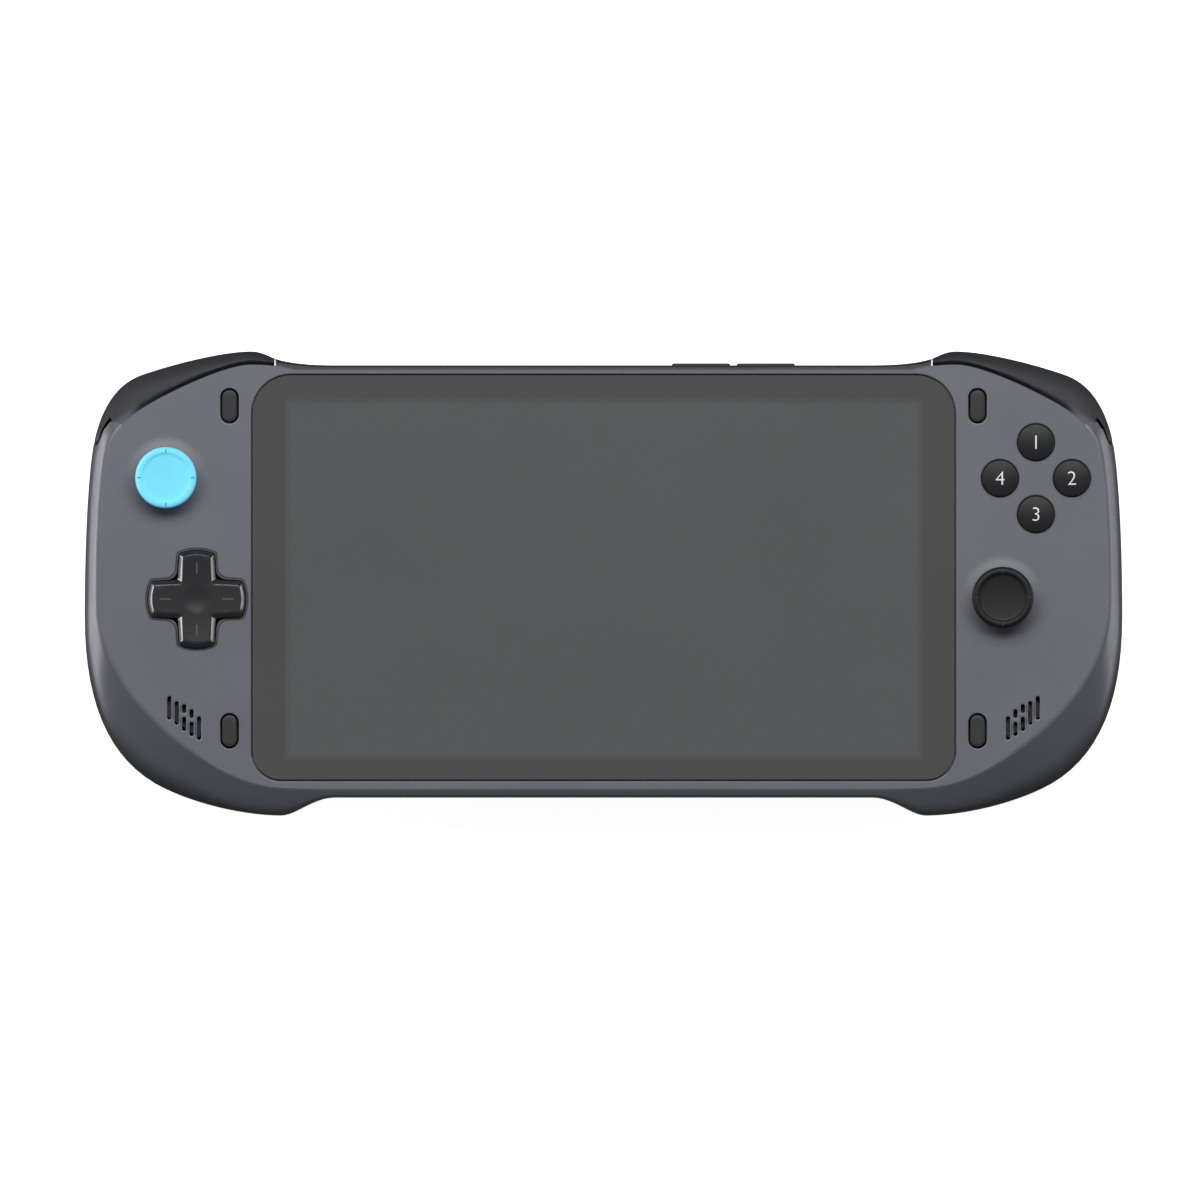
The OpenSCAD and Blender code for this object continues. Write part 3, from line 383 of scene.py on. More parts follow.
@dataclass(frozen=True)
class ShoulderPlastic(MouldedPlastic):
    """Dark moulded plastic with a painted highlight: it pales to the face's colour at the bumper's outer end.
    """

    # pale: the face's colour, painted on the bumper's outer end as a highlight.
    pale: Colour = (0.118, 0.121, 0.143)
    start: Pair = (114.0, 42.2)
    way: Pair = (0.625, 0.78)
    run: float = 2.6
    from_x: Pair = (112.8, 117.0)

    def tint(self, tree: ShaderTree, shade: Sock) -> Sock:
        """The colour, with the pale one painted next to the face's edge as a highlight.

        Args:
            tree: the material's tree.
            shade: the mottled dark colour.

        Returns:
            The colour by place.
        """
        x, y, _ = tree.axes()
        x = x.absolute()
        away = (x - self.start[0] * MM) * self.way[0] + (y - self.start[1] * MM) * self.way[1]
        near = away.step(self.run * MM, 0.0) * x.step(self.from_x[0] * MM, self.from_x[1] * MM)
        # Painted highlight: the bumper pales to the face's colour near its outer end.
        return tree.mix(near, shade, self.pale)


@dataclass(frozen=True)
class RubberCap:
    """Soft moulded rubber with a powdery bloom and fine pores, and an optional glow that is painted light."""

    name: str
    colour: Colour
    bloom: Colour
    rough: float = 0.62
    sheen: float = 0.08
    glow: Colour = (0.0, 0.0, 0.0)

    def make(self) -> bpy.types.Material:
        """Build the material.

        Returns:
            The finished material.
        """
        tree = ShaderTree(self.name)
        bloom = tree.noise(4.0, 3.0)
        pores = tree.noise(0.18, 2.0, 0.7)
        shade = tree.mix(bloom * 0.7, self.colour, self.bloom)
        return tree.finish(
            Base_Color=shade, Roughness=bloom * 0.12 + (self.rough - 0.06),
            Normal=tree.bump(pores, 0.01), Sheen_Weight=self.sheen, Specular_IOR_Level=0.3,
            # The glow is painted light: the rubber emits although it is no lamp.
            Emission_Color=self.glow, Emission_Strength=1.0,
        )


@dataclass(frozen=True)
class ScreenGlass:
    """Smoked cover glass: a printed dark border round the paler picture, with faint smears."""

    name: str
    picture: Colour
    border: Colour
    half_w: float
    half_h: float
    middle_y: float
    soft: float = 1.2

    def make(self) -> bpy.types.Material:
        """Build the material.

        Returns:
            The finished material.
        """
        tree = ShaderTree(self.name)
        x, y, _ = tree.axes()
        beside = x.absolute() - self.half_w * MM
        above = (y - self.middle_y * MM).absolute() - self.half_h * MM
        inside = beside.most(above).step(self.soft * MM, -self.soft * MM)
        smear = tree.noise(38.0, 3.0, 0.5)
        speck = tree.noise(0.5, 1.0)
        dim, clear = (tuple(c * k for c in self.picture) for k in (0.96, 1.04))
        tint = tree.mix(smear, dim, clear)
        shade = tree.mix(inside, self.border, tint)
        return tree.finish(
            Base_Color=shade, Roughness=smear * 0.06 + speck * 0.02 + 0.05,
            Specular_IOR_Level=0.5, Coat_Weight=0.3, Coat_Roughness=0.03,
        )


@dataclass(frozen=True)
class BareMetal:
    """Rolled or turned metal with fine lines along one direction."""

    name: str
    colour: Colour
    rough: float = 0.32
    along: Tuple[float, float, float] = (1.0, 12.0, 12.0)

    def make(self) -> bpy.types.Material:
        """Build the material.

        Returns:
            The finished material.
        """
        tree = ShaderTree(self.name)
        stretched = {"Vector": tree.position(), "Scale": self.along}
        drawn = {"Vector": tree.add("ShaderNodeMapping", {}, stretched), "Scale": 700.0, "Detail": 3.0}
        lines = tree.add("ShaderNodeTexNoise", {}, drawn, "Fac")
        cloud = tree.noise(7.0, 2.0)
        shade = tree.mix(cloud, tuple(c * 0.88 for c in self.colour), self.colour)
        return tree.finish(
            Base_Color=shade, Metallic=1.0, Roughness=lines * 0.14 + (self.rough - 0.07),
            Normal=tree.bump(lines, 0.004),
        )


@dataclass(frozen=True)
class CircuitBoard:
    """Solder mask over copper: tracks show as a paler grid, with a weave below."""

    name: str
    mask: Colour
    track: Colour

    def make(self) -> bpy.types.Material:
        """Build the material.

        Returns:
            The finished material.
        """
        tree = ShaderTree(self.name)
        cells = {"Vector": tree.position(), "Scale": 420.0}
        tracks = tree.add("ShaderNodeTexVoronoi", {"feature": "DISTANCE_TO_EDGE"}, cells, "Distance")
        lines = tracks.step(0.10, 0.04)
        shade = tree.mix(lines, self.mask, self.track)
        return tree.finish(Base_Color=shade, Roughness=lines * 0.12 + 0.34, Normal=tree.bump(lines, 0.02))


@dataclass(frozen=True)
class PrintedInk:
    """Screen-printed ink with a slightly uneven film."""

    name: str
    colour: Colour

    def make(self) -> bpy.types.Material:
        """Build the material.

        Returns:
            The finished material.
        """
        tree = ShaderTree(self.name)
        film = tree.noise(0.6, 2.0)
        shade = tree.mix(film, tuple(c * 0.94 for c in self.colour), self.colour)
        return tree.finish(Base_Color=shade, Roughness=film * 0.1 + 0.45, Normal=tree.bump(film, 0.004))


@dataclass(frozen=True)
class Paper:
    """The pale, even surface that the console lies on."""

    name: str
    colour: Colour
    glow: float

    def make(self) -> bpy.types.Material:
        """Build the material.

        Returns:
            The finished material.
        """
        tree = ShaderTree(self.name)
        fibre = tree.noise(5.0, 2.0)
        shade = tree.mix(fibre, tuple(c * 0.99 for c in self.colour), self.colour)
        return tree.finish(Base_Color=shade, Roughness=0.9, Emission_Color=self.colour,
                           Emission_Strength=self.glow)


class Finishes:
    """Every finish on the console by its name, made once each."""

    def __init__(self, makers: Dict[str, object]) -> None:
        """Keep the makers and an empty store of made materials."""
        self.makers = makers
        self.made: Dict[str, bpy.types.Material] = {}

    def __getitem__(self, slot: str) -> bpy.types.Material:
        """The slot's material, made at its first use.

        Args:
            slot: the finish's name.

        Returns:
            The material.
        """
        if slot not in self.made:
            self.made[slot] = self.makers[slot].make()
        return self.made[slot]


FINISHES = Finishes({
    # The face's finish paints shade: a darker skirt and rim on the rounded side, and near-black openings and
    # top edge.
    "front_shell": RimmedPlastic("satin_face", (0.118, 0.121, 0.148), rough=0.36, specular=0.8),
    "rear_shell": MouldedPlastic("textured_back", (0.042, 0.043, 0.049), rough=0.52, grain=0.5,
                                 depth=0.03),
    "glass": ScreenGlass("smoked_glass", (0.112, 0.116, 0.118), (0.087, 0.088, 0.087),
                         half_w=77.5, half_h=43.6, middle_y=1.1),
    "display": MouldedPlastic("panel_stack", (0.08, 0.083, 0.087), rough=0.25),
    "light_metal": BareMetal("pressed_alloy", (0.55, 0.56, 0.58)),
    "board": CircuitBoard("solder_mask", (0.012, 0.08, 0.035), (0.03, 0.14, 0.06)),
    "copper": BareMetal("copper_sheet", (0.62, 0.30, 0.16)),
    "battery": MouldedPlastic("cell_wrap", (0.03, 0.03, 0.035), rough=0.35, grain=2.0),
    "wire": MouldedPlastic("red_insulation", (0.35, 0.02, 0.02), rough=0.4),
    "ribbon": MouldedPlastic("amber_film", (0.55, 0.26, 0.05), rough=0.3, grain=1.0),
    "steel": BareMetal("bright_steel", (0.60, 0.61, 0.63), rough=0.28),
    "dark_steel": BareMetal("blackened_steel", (0.10, 0.10, 0.11), rough=0.4),
    "black_plastic": MouldedPlastic("black_moulding", (0.018, 0.018, 0.02), rough=0.5),
    "white_plastic": MouldedPlastic("pale_moulding", (0.62, 0.62, 0.63), rough=0.4),
    # Painted light: the blue cap glows a faint blue.
    "blue_cap": RubberCap("blue_rubber", (0.195, 0.82, 0.98), (0.27, 0.96, 0.98),
                          glow=(0.0, 0.01, 0.13)),
    "black_cap": RubberCap("black_rubber", (0.004, 0.0045, 0.005), (0.007, 0.0075, 0.008),
                           rough=0.5, sheen=0.0),
    "dpad": MouldedPlastic("dark_gloss", (0.020, 0.0206, 0.0222), rough=0.22, depth=0.004,
                           specular=0.9),
    "button": MouldedPlastic("domed_gloss", (0.016, 0.0165, 0.018), rough=0.4, depth=0.006,
                             specular=0.2),
    "key": MouldedPlastic("dark_satin", (0.024, 0.0245, 0.0265), rough=0.5, specular=0.35),
    "bumper": ShoulderPlastic("shoulder_satin", (0.031, 0.0317, 0.0343), rough=0.58, specular=0.3),
    "pad": RubberCap("silicone_pad", (0.17, 0.18, 0.19), (0.2, 0.21, 0.22)),
    "legend": PrintedInk("white_ink", (0.88, 0.88, 0.87)),
    "gap": MouldedPlastic("pale_gasket", (0.86, 0.86, 0.86), rough=0.5),
    "mark": PrintedInk("shaded_mark", (0.02, 0.20, 0.34)),
    "faint_mark": PrintedInk("faint_mark", (0.075, 0.077, 0.082)),
    "dim_mark": PrintedInk("dim_mark", (0.022, 0.023, 0.025)),
})


def finished(obj: bpy.types.Object, look: str) -> bpy.types.Object:
    """Give an object one finish.

    Args:
        obj: the object.
        look: the finish, by its name in FINISHES.

    Returns:
        The same object.
    """
    obj.data.materials.clear()
    obj.data.materials.append(FINISHES[look])
    return obj


def bezier(control: Sequence[Pair], shares: np.ndarray) -> Loop:
    """Points of one cubic curve.

    Args:
        control: its four points.
        shares: the places along it, from 0 to 1.

    Returns:
        One point for each place.
    """
    c = np.asarray(control, float)
    u = np.asarray(shares, float)[:, None]
    v = 1.0 - u
    return v**3 * c[0] + 3 * v * v * u * c[1] + 3 * v * u * u * c[2] + u**3 * c[3]


def inset(loop: Loop, distance: float) -> Loop:
    """A closed clockwise loop moved inwards.

    Args:
        loop: the points.
        distance: how far each moves, square to the line between its neighbours.

    Returns:
        The moved points.
    """
    along = np.roll(loop, -1, 0) - np.roll(loop, 1, 0)
    along /= np.linalg.norm(along, axis=1)[:, None]
    return loop + distance * np.column_stack([along[:, 1], -along[:, 0]])


def within(points: Loop, loop: Loop) -> np.ndarray:
    """Which points lie inside a closed loop, as an array of truth values.

    Args:
        points: points of the plan.
        loop: the closed loop.

    Returns:
        One truth value for each point.
    """
    x, y = points[:, 0], points[:, 1]
    found = np.zeros(len(points), bool)
    for (x0, y0), (x1, y1) in zip(loop, np.roll(loop, -1, 0)):
        if y0 != y1:
            crosses = (y0 > y) != (y1 > y)
            found ^= crosses & (x < (x1 - x0) * (y - y0) / (y1 - y0) + x0)
    return found


class BodyOutline:
    """Plan of the console: the flat face's edge, the widest line below it, and the lines between."""

    FACE = (
        ((66, 52.5), (72, 52.5), (77.5, 52.9), (80.7, 53.3)),
        ((80.7, 53.3), (82.6, 53.5), (84, 53.6), (86.5, 53.6)),
        ((86.5, 53.6), (92, 53.6), (105.2, 47.7), (112.7, 43.1)),
        ((112.7, 43.1), (116.7, 40.5), (120, 37.5), (121.2, 34.1)),
        ((121.2, 34.1), (123.2, 26), (123.7, 10), (123.7, -4)),
        ((123.7, -4), (123.7, -17), (116.8, -27), (107.2, -36)),
        ((107.2, -36), (99.2, -42.6), (90, -49.4), (79, -50)),
        ((79, -50), (75, -50.2), (71, -50.3), (66, -50.3)),
    )
    SIDE = (
        ((66, 53.5), (72, 53.5), (77.5, 54), (80.7, 55.2)),
        ((80.7, 55.2), (82.6, 56), (84, 56.9), (86.5, 56.9)),
        ((86.5, 56.9), (93, 56.9), (105, 54), (113, 51.2)),
        ((113, 51.2), (119.5, 49), (123, 43), (124.8, 35.1)),
        ((124.8, 35.1), (126.3, 28), (127.2, 10), (127.2, -8)),
        ((127.2, -8), (127.2, -28), (122, -42), (109.8, -49.1)),
        ((109.8, -49.1), (101, -54), (88, -56.9), (79, -56.9)),
        ((79, -56.9), (75.5, -56.9), (71, -52.5), (66, -52.5)),
    )
    GRIP = (
        ((79, -56.9), (77, -38.9), (79, -12), (80, 8)),
        ((80, 8), (81, 27), (88, 39), (100, 39)),
        ((100, 39), (110, 39), (121.2, 38.5), (124.8, 35.1)),
    )
    EDGE_ANGLE = 28.0
    PART_Z = 25.5
    BAND = 7.5
    CHAMFER = 0.44
    SIDE_CHAMFER = 0.49
    FLATTEST = (0.62, 0.2)
    ROLL = (5.0, 12.0)
    NARROW = 3.5
    SOFT_START = 0.45
    ROOM_START = 0.95
    ROOM_END = 4.045
    SLANT = ((0.0, 0.5, 0.6, 0.68, 1.0), (3.5, 3.68, 3.85, 4.045, 4.045))
    SLANT_RUN = (2.6, 4.7)

    def __init__(self) -> None:
        """Lay out the places along the curves, with the two ends of a bumper's room among them."""
        even = np.arange(14) / 14
        first = np.concatenate([np.linspace(0, self.ROOM_START, 9), [0.975]])
        fifth = np.concatenate([[0.0, self.ROOM_END - 4], np.linspace(0.08, 0.62, 15),
                                np.linspace(0.69, 0.96, 5)])
        shares = [first, even, even, even, fifth, even, even, np.linspace(0, 1, 12)]
        self.places = np.concatenate([k + s for k, s in enumerate(shares)])
        self.count = len(self.places)
        self.room_start = 8
        self.room_end = sum(len(s) for s in shares[:4]) + 1
        last = 2 * self.count - 1
        self.right_room = list(range(self.room_start, self.room_end + 1))
        self.left_room = list(range(last - self.room_end, last - self.room_start + 1))
        self.top_run = list(range(last - self.room_start, last + 1)) + list(range(self.room_start + 1))
        self.low_run = list(range(self.room_end, last - self.room_end + 1))

    def curves(self, share: float, first: int = 0, last: int = 7) -> List[np.ndarray]:
        """Control points of the right half's curves, a share of the way from the face to the side."""
        return [(1 - share) * np.array(self.FACE[i], float) + share * np.array(self.SIDE[i], float)
                for i in range(first, last + 1)]

    def loop(self, share: float) -> Loop:
        """The whole closed outline, clockwise, a share of the way from the face to the side."""
        half = self.along(share, self.slanted(share))
        return np.vstack([half, (half * (-1, 1))[::-1]])

    def slanted(self, share: float) -> np.ndarray:
        """The loop's places at a share, moved so that the bumper's room has a slanted end."""
        (low, high), end = self.SLANT_RUN, float(np.interp(share, *self.SLANT))
        return np.interp(self.places, (0, low, self.ROOM_END, high, 8), (0, low, end, high, 8))

    def rim(self, share: float) -> np.ndarray:
        """The whole outline at a share, with the heights of the rounded side."""
        rise = self.side_height(share, self.slanted(share))
        return np.column_stack([self.loop(share), np.concatenate([rise, rise[::-1]])])

    def width(self, places: np.ndarray) -> Tuple[np.ndarray, Loop]:
        """How far the side stands out from the face's edge, square to it, and the edge's direction.

        Args:
            places: places along the right half.

        Returns:
            The distances, and the directions.
        """
        step = 0.01
        ahead, behind = np.minimum(places + step, 8.0), np.maximum(places - step, 0.0)
        way = self.along(0.0, ahead) - self.along(0.0, behind)
        way /= np.linalg.norm(way, axis=1)[:, None]
        out = self.along(1.0, places) - self.along(0.0, places)
        return np.abs(out[:, 0] * way[:, 1] - out[:, 1] * way[:, 0]), way

    def side_height(self, share: float, places: np.ndarray) -> np.ndarray:
        """Height of the rounded side at a share: an even chamfer that rolls over to the upright.

        Args:
            share: how far out from the face's edge, from 0 to 1.
            places: places along the right half.

        Returns:
            One height for each place.
        """
        width, way = self.width(places)
        beside = way[:, 1] ** 2
        slope = self.CHAMFER + self.SIDE_CHAMFER * beside
        flattest = self.FLATTEST[0] + self.FLATTEST[1] * (1 - beside)
        flat = np.minimum(slope * width / self.BAND, flattest)
        roll = np.clip(self.ROLL[1] - 1.5 * (width - self.NARROW), *self.ROLL)
        drop = flat * share + (1 - flat) * (1 - np.sqrt(1 - share**roll))
        start = self.SOFT_START * beside * (1 - share) + 1e-6
        soft = flat * start / np.maximum(width, 0.1) * (1 - np.exp(-share * width / start))
        return self.PART_Z + self.BAND * (1 - drop + soft)

    def along(self, share: float, places: np.ndarray) -> Loop:
        """Points of the right half, each place a curve's number plus the share along it.

        Args:
            share: how far out from the face's edge, from 0 to 1.
            places: curve numbers with the share along each added.

        Returns:
            One point for each place.
        """
        number = np.minimum(places.astype(int), 7)
        curves = self.curves(share)
        return np.vstack([bezier(curves[n], np.array([t - n])) for n, t in zip(number, places)])

    def share_at(self, degrees: float) -> float:
        """How far out the side is at an angle of its rounding."""
        low = math.sin(math.radians(self.EDGE_ANGLE))
        return (math.sin(math.radians(degrees)) - low) / (1 - low)

    def rise_at(self, degrees: float, band: float) -> float:
        """Height at an angle of the side's rounding, where the band is that deep."""
        drop = math.cos(math.radians(degrees)) / math.cos(math.radians(self.EDGE_ANGLE))
        return self.PART_Z + band * drop


OUTLINE = BodyOutline()
Plan = Callable[[float], Loop]


def round_plan(middle: Pair, radius: float, count: int = 40) -> Plan:
    """A circle that can be grown.

    Args:
        middle: its centre.
        radius: its radius before growing.
        count: how many points it has.

    Returns:
        A function from the growth to the loop, clockwise.
    """
    turn = -np.arange(count) * 2 * math.pi / count
    ring = np.column_stack([np.cos(turn), np.sin(turn)])
    return lambda grow: np.array(middle) + (radius + grow) * ring


def slot_plan(start: Pair, end: Pair, width: float, count: int = 10) -> Plan:
    """A slot with round ends that can be grown.

    Args:
        start: the centre of one end.
        end: the centre of the other.
        width: its width before growing.
        count: how many steps each end has.

    Returns:
        A function from the growth to the loop, clockwise.
    """
    a, b = np.array(start, float), np.array(end, float)
    face = math.atan2(*(b - a)[::-1])
    turn = np.linspace(math.pi / 2, -math.pi / 2, count + 1)

    def grown(grow: float) -> Loop:
        """The loop for one growth.

        Args:
            grow: how far it stands out from the plan.

        Returns:
            The points, clockwise.
        """
        r = width / 2 + grow
        ends = [p + r * np.column_stack([np.cos(face + flip + turn), np.sin(face + flip + turn)])
                for p, flip in ((b, 0.0), (a, math.pi))]
        return np.vstack(ends)
    return grown


def rect_plan(low: Pair, high: Pair, top_r: float, low_r: float,
              count: int = 12) -> Plan:
    """A rectangle with round corners that can be grown.

    Args:
        low: its lowest corner.
        high: its highest corner.
        top_r: the radius of the two upper corners.
        low_r: the radius of the two lower corners.
        count: how many steps each corner has.

    Returns:
        A function from the growth to the loop, clockwise.
    """
    corners = (((low[0] + top_r, high[1] - top_r), top_r, 180.0),
               ((high[0] - top_r, high[1] - top_r), top_r, 90.0),
               ((high[0] - low_r, low[1] + low_r), low_r, 0.0),
               ((low[0] + low_r, low[1] + low_r), low_r, -90.0))

    def grown(grow: float) -> Loop:
        """The loop for one growth.

        Args:
            grow: how far it stands out from the plan.

        Returns:
            The points, clockwise.
        """
        parts = []
        for middle, radius, start in corners:
            turn = np.radians(start - np.linspace(0, 90, count + 1))
            ring = np.column_stack([np.cos(turn), np.sin(turn)])
            parts.append(np.array(middle) + (radius + grow) * ring)
        return np.vstack(parts)
    return grown


def cross_plan(middle: Pair, half_width: float, reach: float, inner_r: float = 0.7,
               outer_r: float = 1.1, count: int = 6, taper: float = 0.0) -> Plan:
    """A cross with arched ends that can be grown.

    Args:
        middle: its centre.
        half_width: half the width of an arm.
        reach: the radius of the arched ends.
        inner_r: the rounding between two arms.
        outer_r: the rounding of an arm's corners.
        count: how many steps each rounding has.
        taper: the share of an arm's width that is lost at its end.

    Returns:
        A function from the growth to the loop, clockwise.
    """
    def grown(grow: float) -> Loop:
        """The loop for one growth.

        Args:
            grow: how far it stands out from the plan.

        Returns:
            The points, clockwise.
        """
        w, big = half_width + grow, reach + grow
        tip = math.sqrt((big - outer_r) ** 2 - (w - outer_r) ** 2)
        lean = math.degrees(math.atan2(w - outer_r, tip))
        runs = (((tip, w - outer_r), outer_r, np.linspace(90, lean, count + 1)),
                ((0.0, 0.0), big, np.linspace(lean, -lean, 9)[1:-1]),
                ((tip, outer_r - w), outer_r, np.linspace(-lean, -90, count + 1)),
                ((w + inner_r, -w - inner_r), inner_r, np.linspace(90, 180, count + 1)))
        arm = np.array([(x + r * math.cos(a), y + r * math.sin(a))
                        for (x, y), r, turn in runs for a in np.radians(turn)])
        arm[:, 1] *= 1 - taper * np.clip((arm[:, 0] - w) / (big - w), 0, 1)
        quarter = np.array([[0, -1], [1, 0]])
        turns = [arm]
        for _ in range(3):
            turns.append(turns[-1] @ quarter)
        return np.array(middle) + np.vstack(turns)
    return grown


def grid_points(half_x: float, half_y: float, step: float) -> Loop:
    """Points of an even grid about the origin.

    Args:
        half_x: its reach in X.
        half_y: its reach in Y.
        step: the distance between neighbours.

    Returns:
        The points.
    """
    xs, ys = (np.arange(-half, half + 0.01, step) for half in (half_x, half_y))
    return np.stack(np.meshgrid(xs, ys), -1).reshape(-1, 2)


def upright(points: np.ndarray) -> np.ndarray:
    """Swap Y and Z, so that a plan drawn in X and Z stands up."""
    return points[:, [0, 2, 1]]


def smoothed(mesh: bpy.types.Mesh, sharp: float = SMOOTH_ANGLE) -> bpy.types.Mesh:
    """Shade a mesh smooth, but for its sharp edges.

    Args:
        mesh: the mesh.
        sharp: edges turned by more degrees than this look sharp.

    Returns:
        The mesh.
    """
    mesh.shade_smooth()
    mesh.set_sharp_from_angle(angle=math.radians(sharp))
    return mesh


def plain_mesh(obj: bpy.types.Object) -> bpy.types.Mesh:
    """A new mesh of an object as its modifiers leave it."""
    return bpy.data.meshes.new_from_object(obj.evaluated_get(bpy.context.evaluated_depsgraph_get()))


class Shape:
    """Points and faces in millimetres that become one finished object."""

    def __init__(self) -> None:
        """Start with nothing."""
        self.points: List[np.ndarray] = []
        self.faces: List[Tuple[int, ...]] = []
        self.total = 0

    def put(self, points: np.ndarray) -> int:
        """Add points and hand back the number of the first.

        Args:
            points: the points.

        Returns:
            The number of the first.
        """
        first = self.total
        self.points.append(np.asarray(points, float))
        self.total += len(points)
        return first

    @staticmethod
    def at(loop: Loop, height: Union[Number, np.ndarray]) -> np.ndarray:
        """A loop of the plan at a height."""
        return np.column_stack([loop, np.broadcast_to(height, len(loop))])

    def band(self, rings: Sequence[np.ndarray], closed: bool = True) -> "Shape":
        """Join rings of points, each to the next.

        Args:
            rings: the rings, all with as many points.
            closed: whether each ring's end meets its start.

        Returns:
            The shape.
        """
        n = len(rings[0])
        starts = [self.put(r) for r in rings]
        for a, b in zip(starts, starts[1:]):
            for k in range(n if closed else n - 1):
                m = (k + 1) % n
                self.faces.append((a + k, a + m, b + m, b + k))
        return self

    def polygon(self, ring: np.ndarray) -> "Shape":
        """Close a ring with one face.

        Args:
            ring: its points.

        Returns:
            The shape.
        """
        first = self.put(ring)
        self.faces.append(tuple(range(first, first + len(ring))))
        return self

    def closed(self, rings: Sequence[np.ndarray]) -> "Shape":
        """Join rings of points and close both ends."""
        return self.band(rings).polygon(rings[0]).polygon(rings[-1])

    def hole(self, plan: Plan, profile: Sequence[Pair]) -> "Shape":
        """Line a hole, or wrap a post, through the profile's pairs of growth and height."""
        return self.band([self.at(plan(grow), z) for grow, z in profile])

    def spun(self, middle: Pair, profile: Sequence[Pair],
             count: int = 64) -> "Shape":
        """Turn a profile of radius and height about an upright line through a point of the plan."""
        ring = round_plan(middle, 0.0, count)
        return self.band([self.at(ring(max(r, 1e-4)), z) for r, z in profile])

    def fill(self, outer: Loop, holes: Sequence[Loop],
             height: Union[Number, Callable[[Loop], np.ndarray]],
             seeds: Optional[Loop] = None) -> "Shape":
        """Cover the plan inside a loop and outside its holes.

        Args:
            outer: the outer loop.
            holes: the loops left open.
            height: one height, or a function from points of the plan to heights.
            seeds: further points of the plan that the cover passes through.

        Returns:
            The shape.
        """
        loops = [outer, *holes]
        plan = np.vstack(loops)
        edges, start = [], 0
        for loop in loops:
            n = len(loop)
            edges += [(start + k, start + (k + 1) % n) for k in range(n)]
            start += n
        if seeds is not None:
            plan = np.vstack([plan, seeds])
        made = delaunay_2d_cdt([Vector(p) for p in plan], edges, [], 1, 1e-5)
        points, faces = np.array([tuple(p) for p in made[0]]), np.array(list(made[2]))
        centres = points[faces].mean(1)
        kept = within(centres, outer)
        for loop in holes:
            near = np.all((centres > loop.min(0)) & (centres < loop.max(0)), axis=1)
            kept[near] &= ~within(centres[near], loop)
        heights = height(points) if callable(height) else height
        first = self.put(self.at(points, heights))
        self.faces += [tuple(int(first + k) for k in f) for f in faces[kept]]
        return self

    def turned(self, turn: Callable[[np.ndarray], np.ndarray]) -> "Shape":
        """Move every point by a function of all points."""
        self.points = [turn(p) for p in self.points]
        return self

    def mesh(self, name: str, sharp: float = SMOOTH_ANGLE) -> bpy.types.Mesh:
        """Make a closed mesh with outward faces.

        Args:
            name: the mesh's name.
            sharp: edges turned by more degrees than this look sharp.

        Returns:
            The mesh, in metres.
        """
        mesh = bpy.data.meshes.new(name)
        mesh.from_pydata((np.vstack(self.points) * MM).tolist(), [], self.faces)
        work = bmesh.new()
        work.from_mesh(mesh)
        bmesh.ops.remove_doubles(work, verts=work.verts, dist=0.002 * MM)
        loose = [v for v in work.verts if not v.link_faces]
        bmesh.ops.delete(work, geom=loose, context="VERTS")
        bmesh.ops.dissolve_degenerate(work, edges=work.edges, dist=0.0005 * MM)
        bmesh.ops.recalc_face_normals(work, faces=work.faces)
        if work.calc_volume(signed=True) < 0:
            bmesh.ops.reverse_faces(work, faces=work.faces)
        work.to_mesh(mesh)
        work.free()
        return smoothed(mesh, sharp)

    def make(self, name: str, look: str, sharp: float = SMOOTH_ANGLE) -> bpy.types.Object:
        """Make the finished object with one finish."""
        return placed(name, self.mesh(name, sharp), look)


def placed(name: str, mesh: bpy.types.Mesh, look: Optional[str] = None) -> bpy.types.Object:
    """Put a mesh into the scene at the origin.

    Args:
        name: the object's name.
        mesh: its mesh.
        look: its finish, or nothing where the mesh has its own.

    Returns:
        The object.
    """
    obj = bpy.data.objects.new(name, mesh)
    bpy.context.scene.collection.objects.link(obj)
    return obj if look is None else finished(obj, look)


def settle(obj: bpy.types.Object, body: str, slot: str, *nodes: str) -> bpy.types.Object:
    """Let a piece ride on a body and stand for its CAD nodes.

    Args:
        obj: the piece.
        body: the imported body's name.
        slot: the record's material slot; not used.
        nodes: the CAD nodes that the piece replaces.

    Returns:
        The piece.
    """
    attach(obj, body)
    if nodes:
        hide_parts(*nodes)
    LOG.info("%s: %d faces on %s", obj.name, len(obj.data.polygons), body)
    return obj


@dataclass(frozen=True)
class Layout:
    """Places that the shells share with the controls, in millimetres."""

    face_z: float = 33.0
    foot_z: float = 31.2
    sticks: Pairs = ((-107.1, 25.9), (97.7, -3.4))
    stick_pivot_z: float = 26.0
    dpad: Pair = (-99.6, -3.8)
    dpad_taper: float = 0.07
    action: Pair = (105.9, 25.8)
    action_pitch: float = 8.8
    action_ways: Tuple[Tuple[str, int, int], ...] = (
        ("top", 0, 1), ("right", 1, 0), ("bottom", 0, -1), ("left", -1, 0))
    pill_x: float = 91.6
    pill_ys: Pair = (43.5, -36.1)
    pill_half_run: float = 2.1
    hinge: Pair = (43.5, 14.0)
    edge_key_z: float = 22.9
    screws: Pairs = ((84.3, 42), (-84.3, 42), (68, -46.8), (-68, -46.8))

    def button_place(self, dx: int, dy: int) -> Pair:
        """Middle of the action button that lies in one direction from the group's middle."""
        return self.action[0] + dx * self.action_pitch, self.action[1] + dy * self.action_pitch

    def pill_plan(self, side: Side, y: float, width: float) -> Plan:
        """Plan of the pill-shaped key, or its opening, on one side."""
        x = side.value * self.pill_x
        return slot_plan((x, y - self.pill_half_run), (x, y + self.pill_half_run), width, 14)


LAYOUT = Layout()


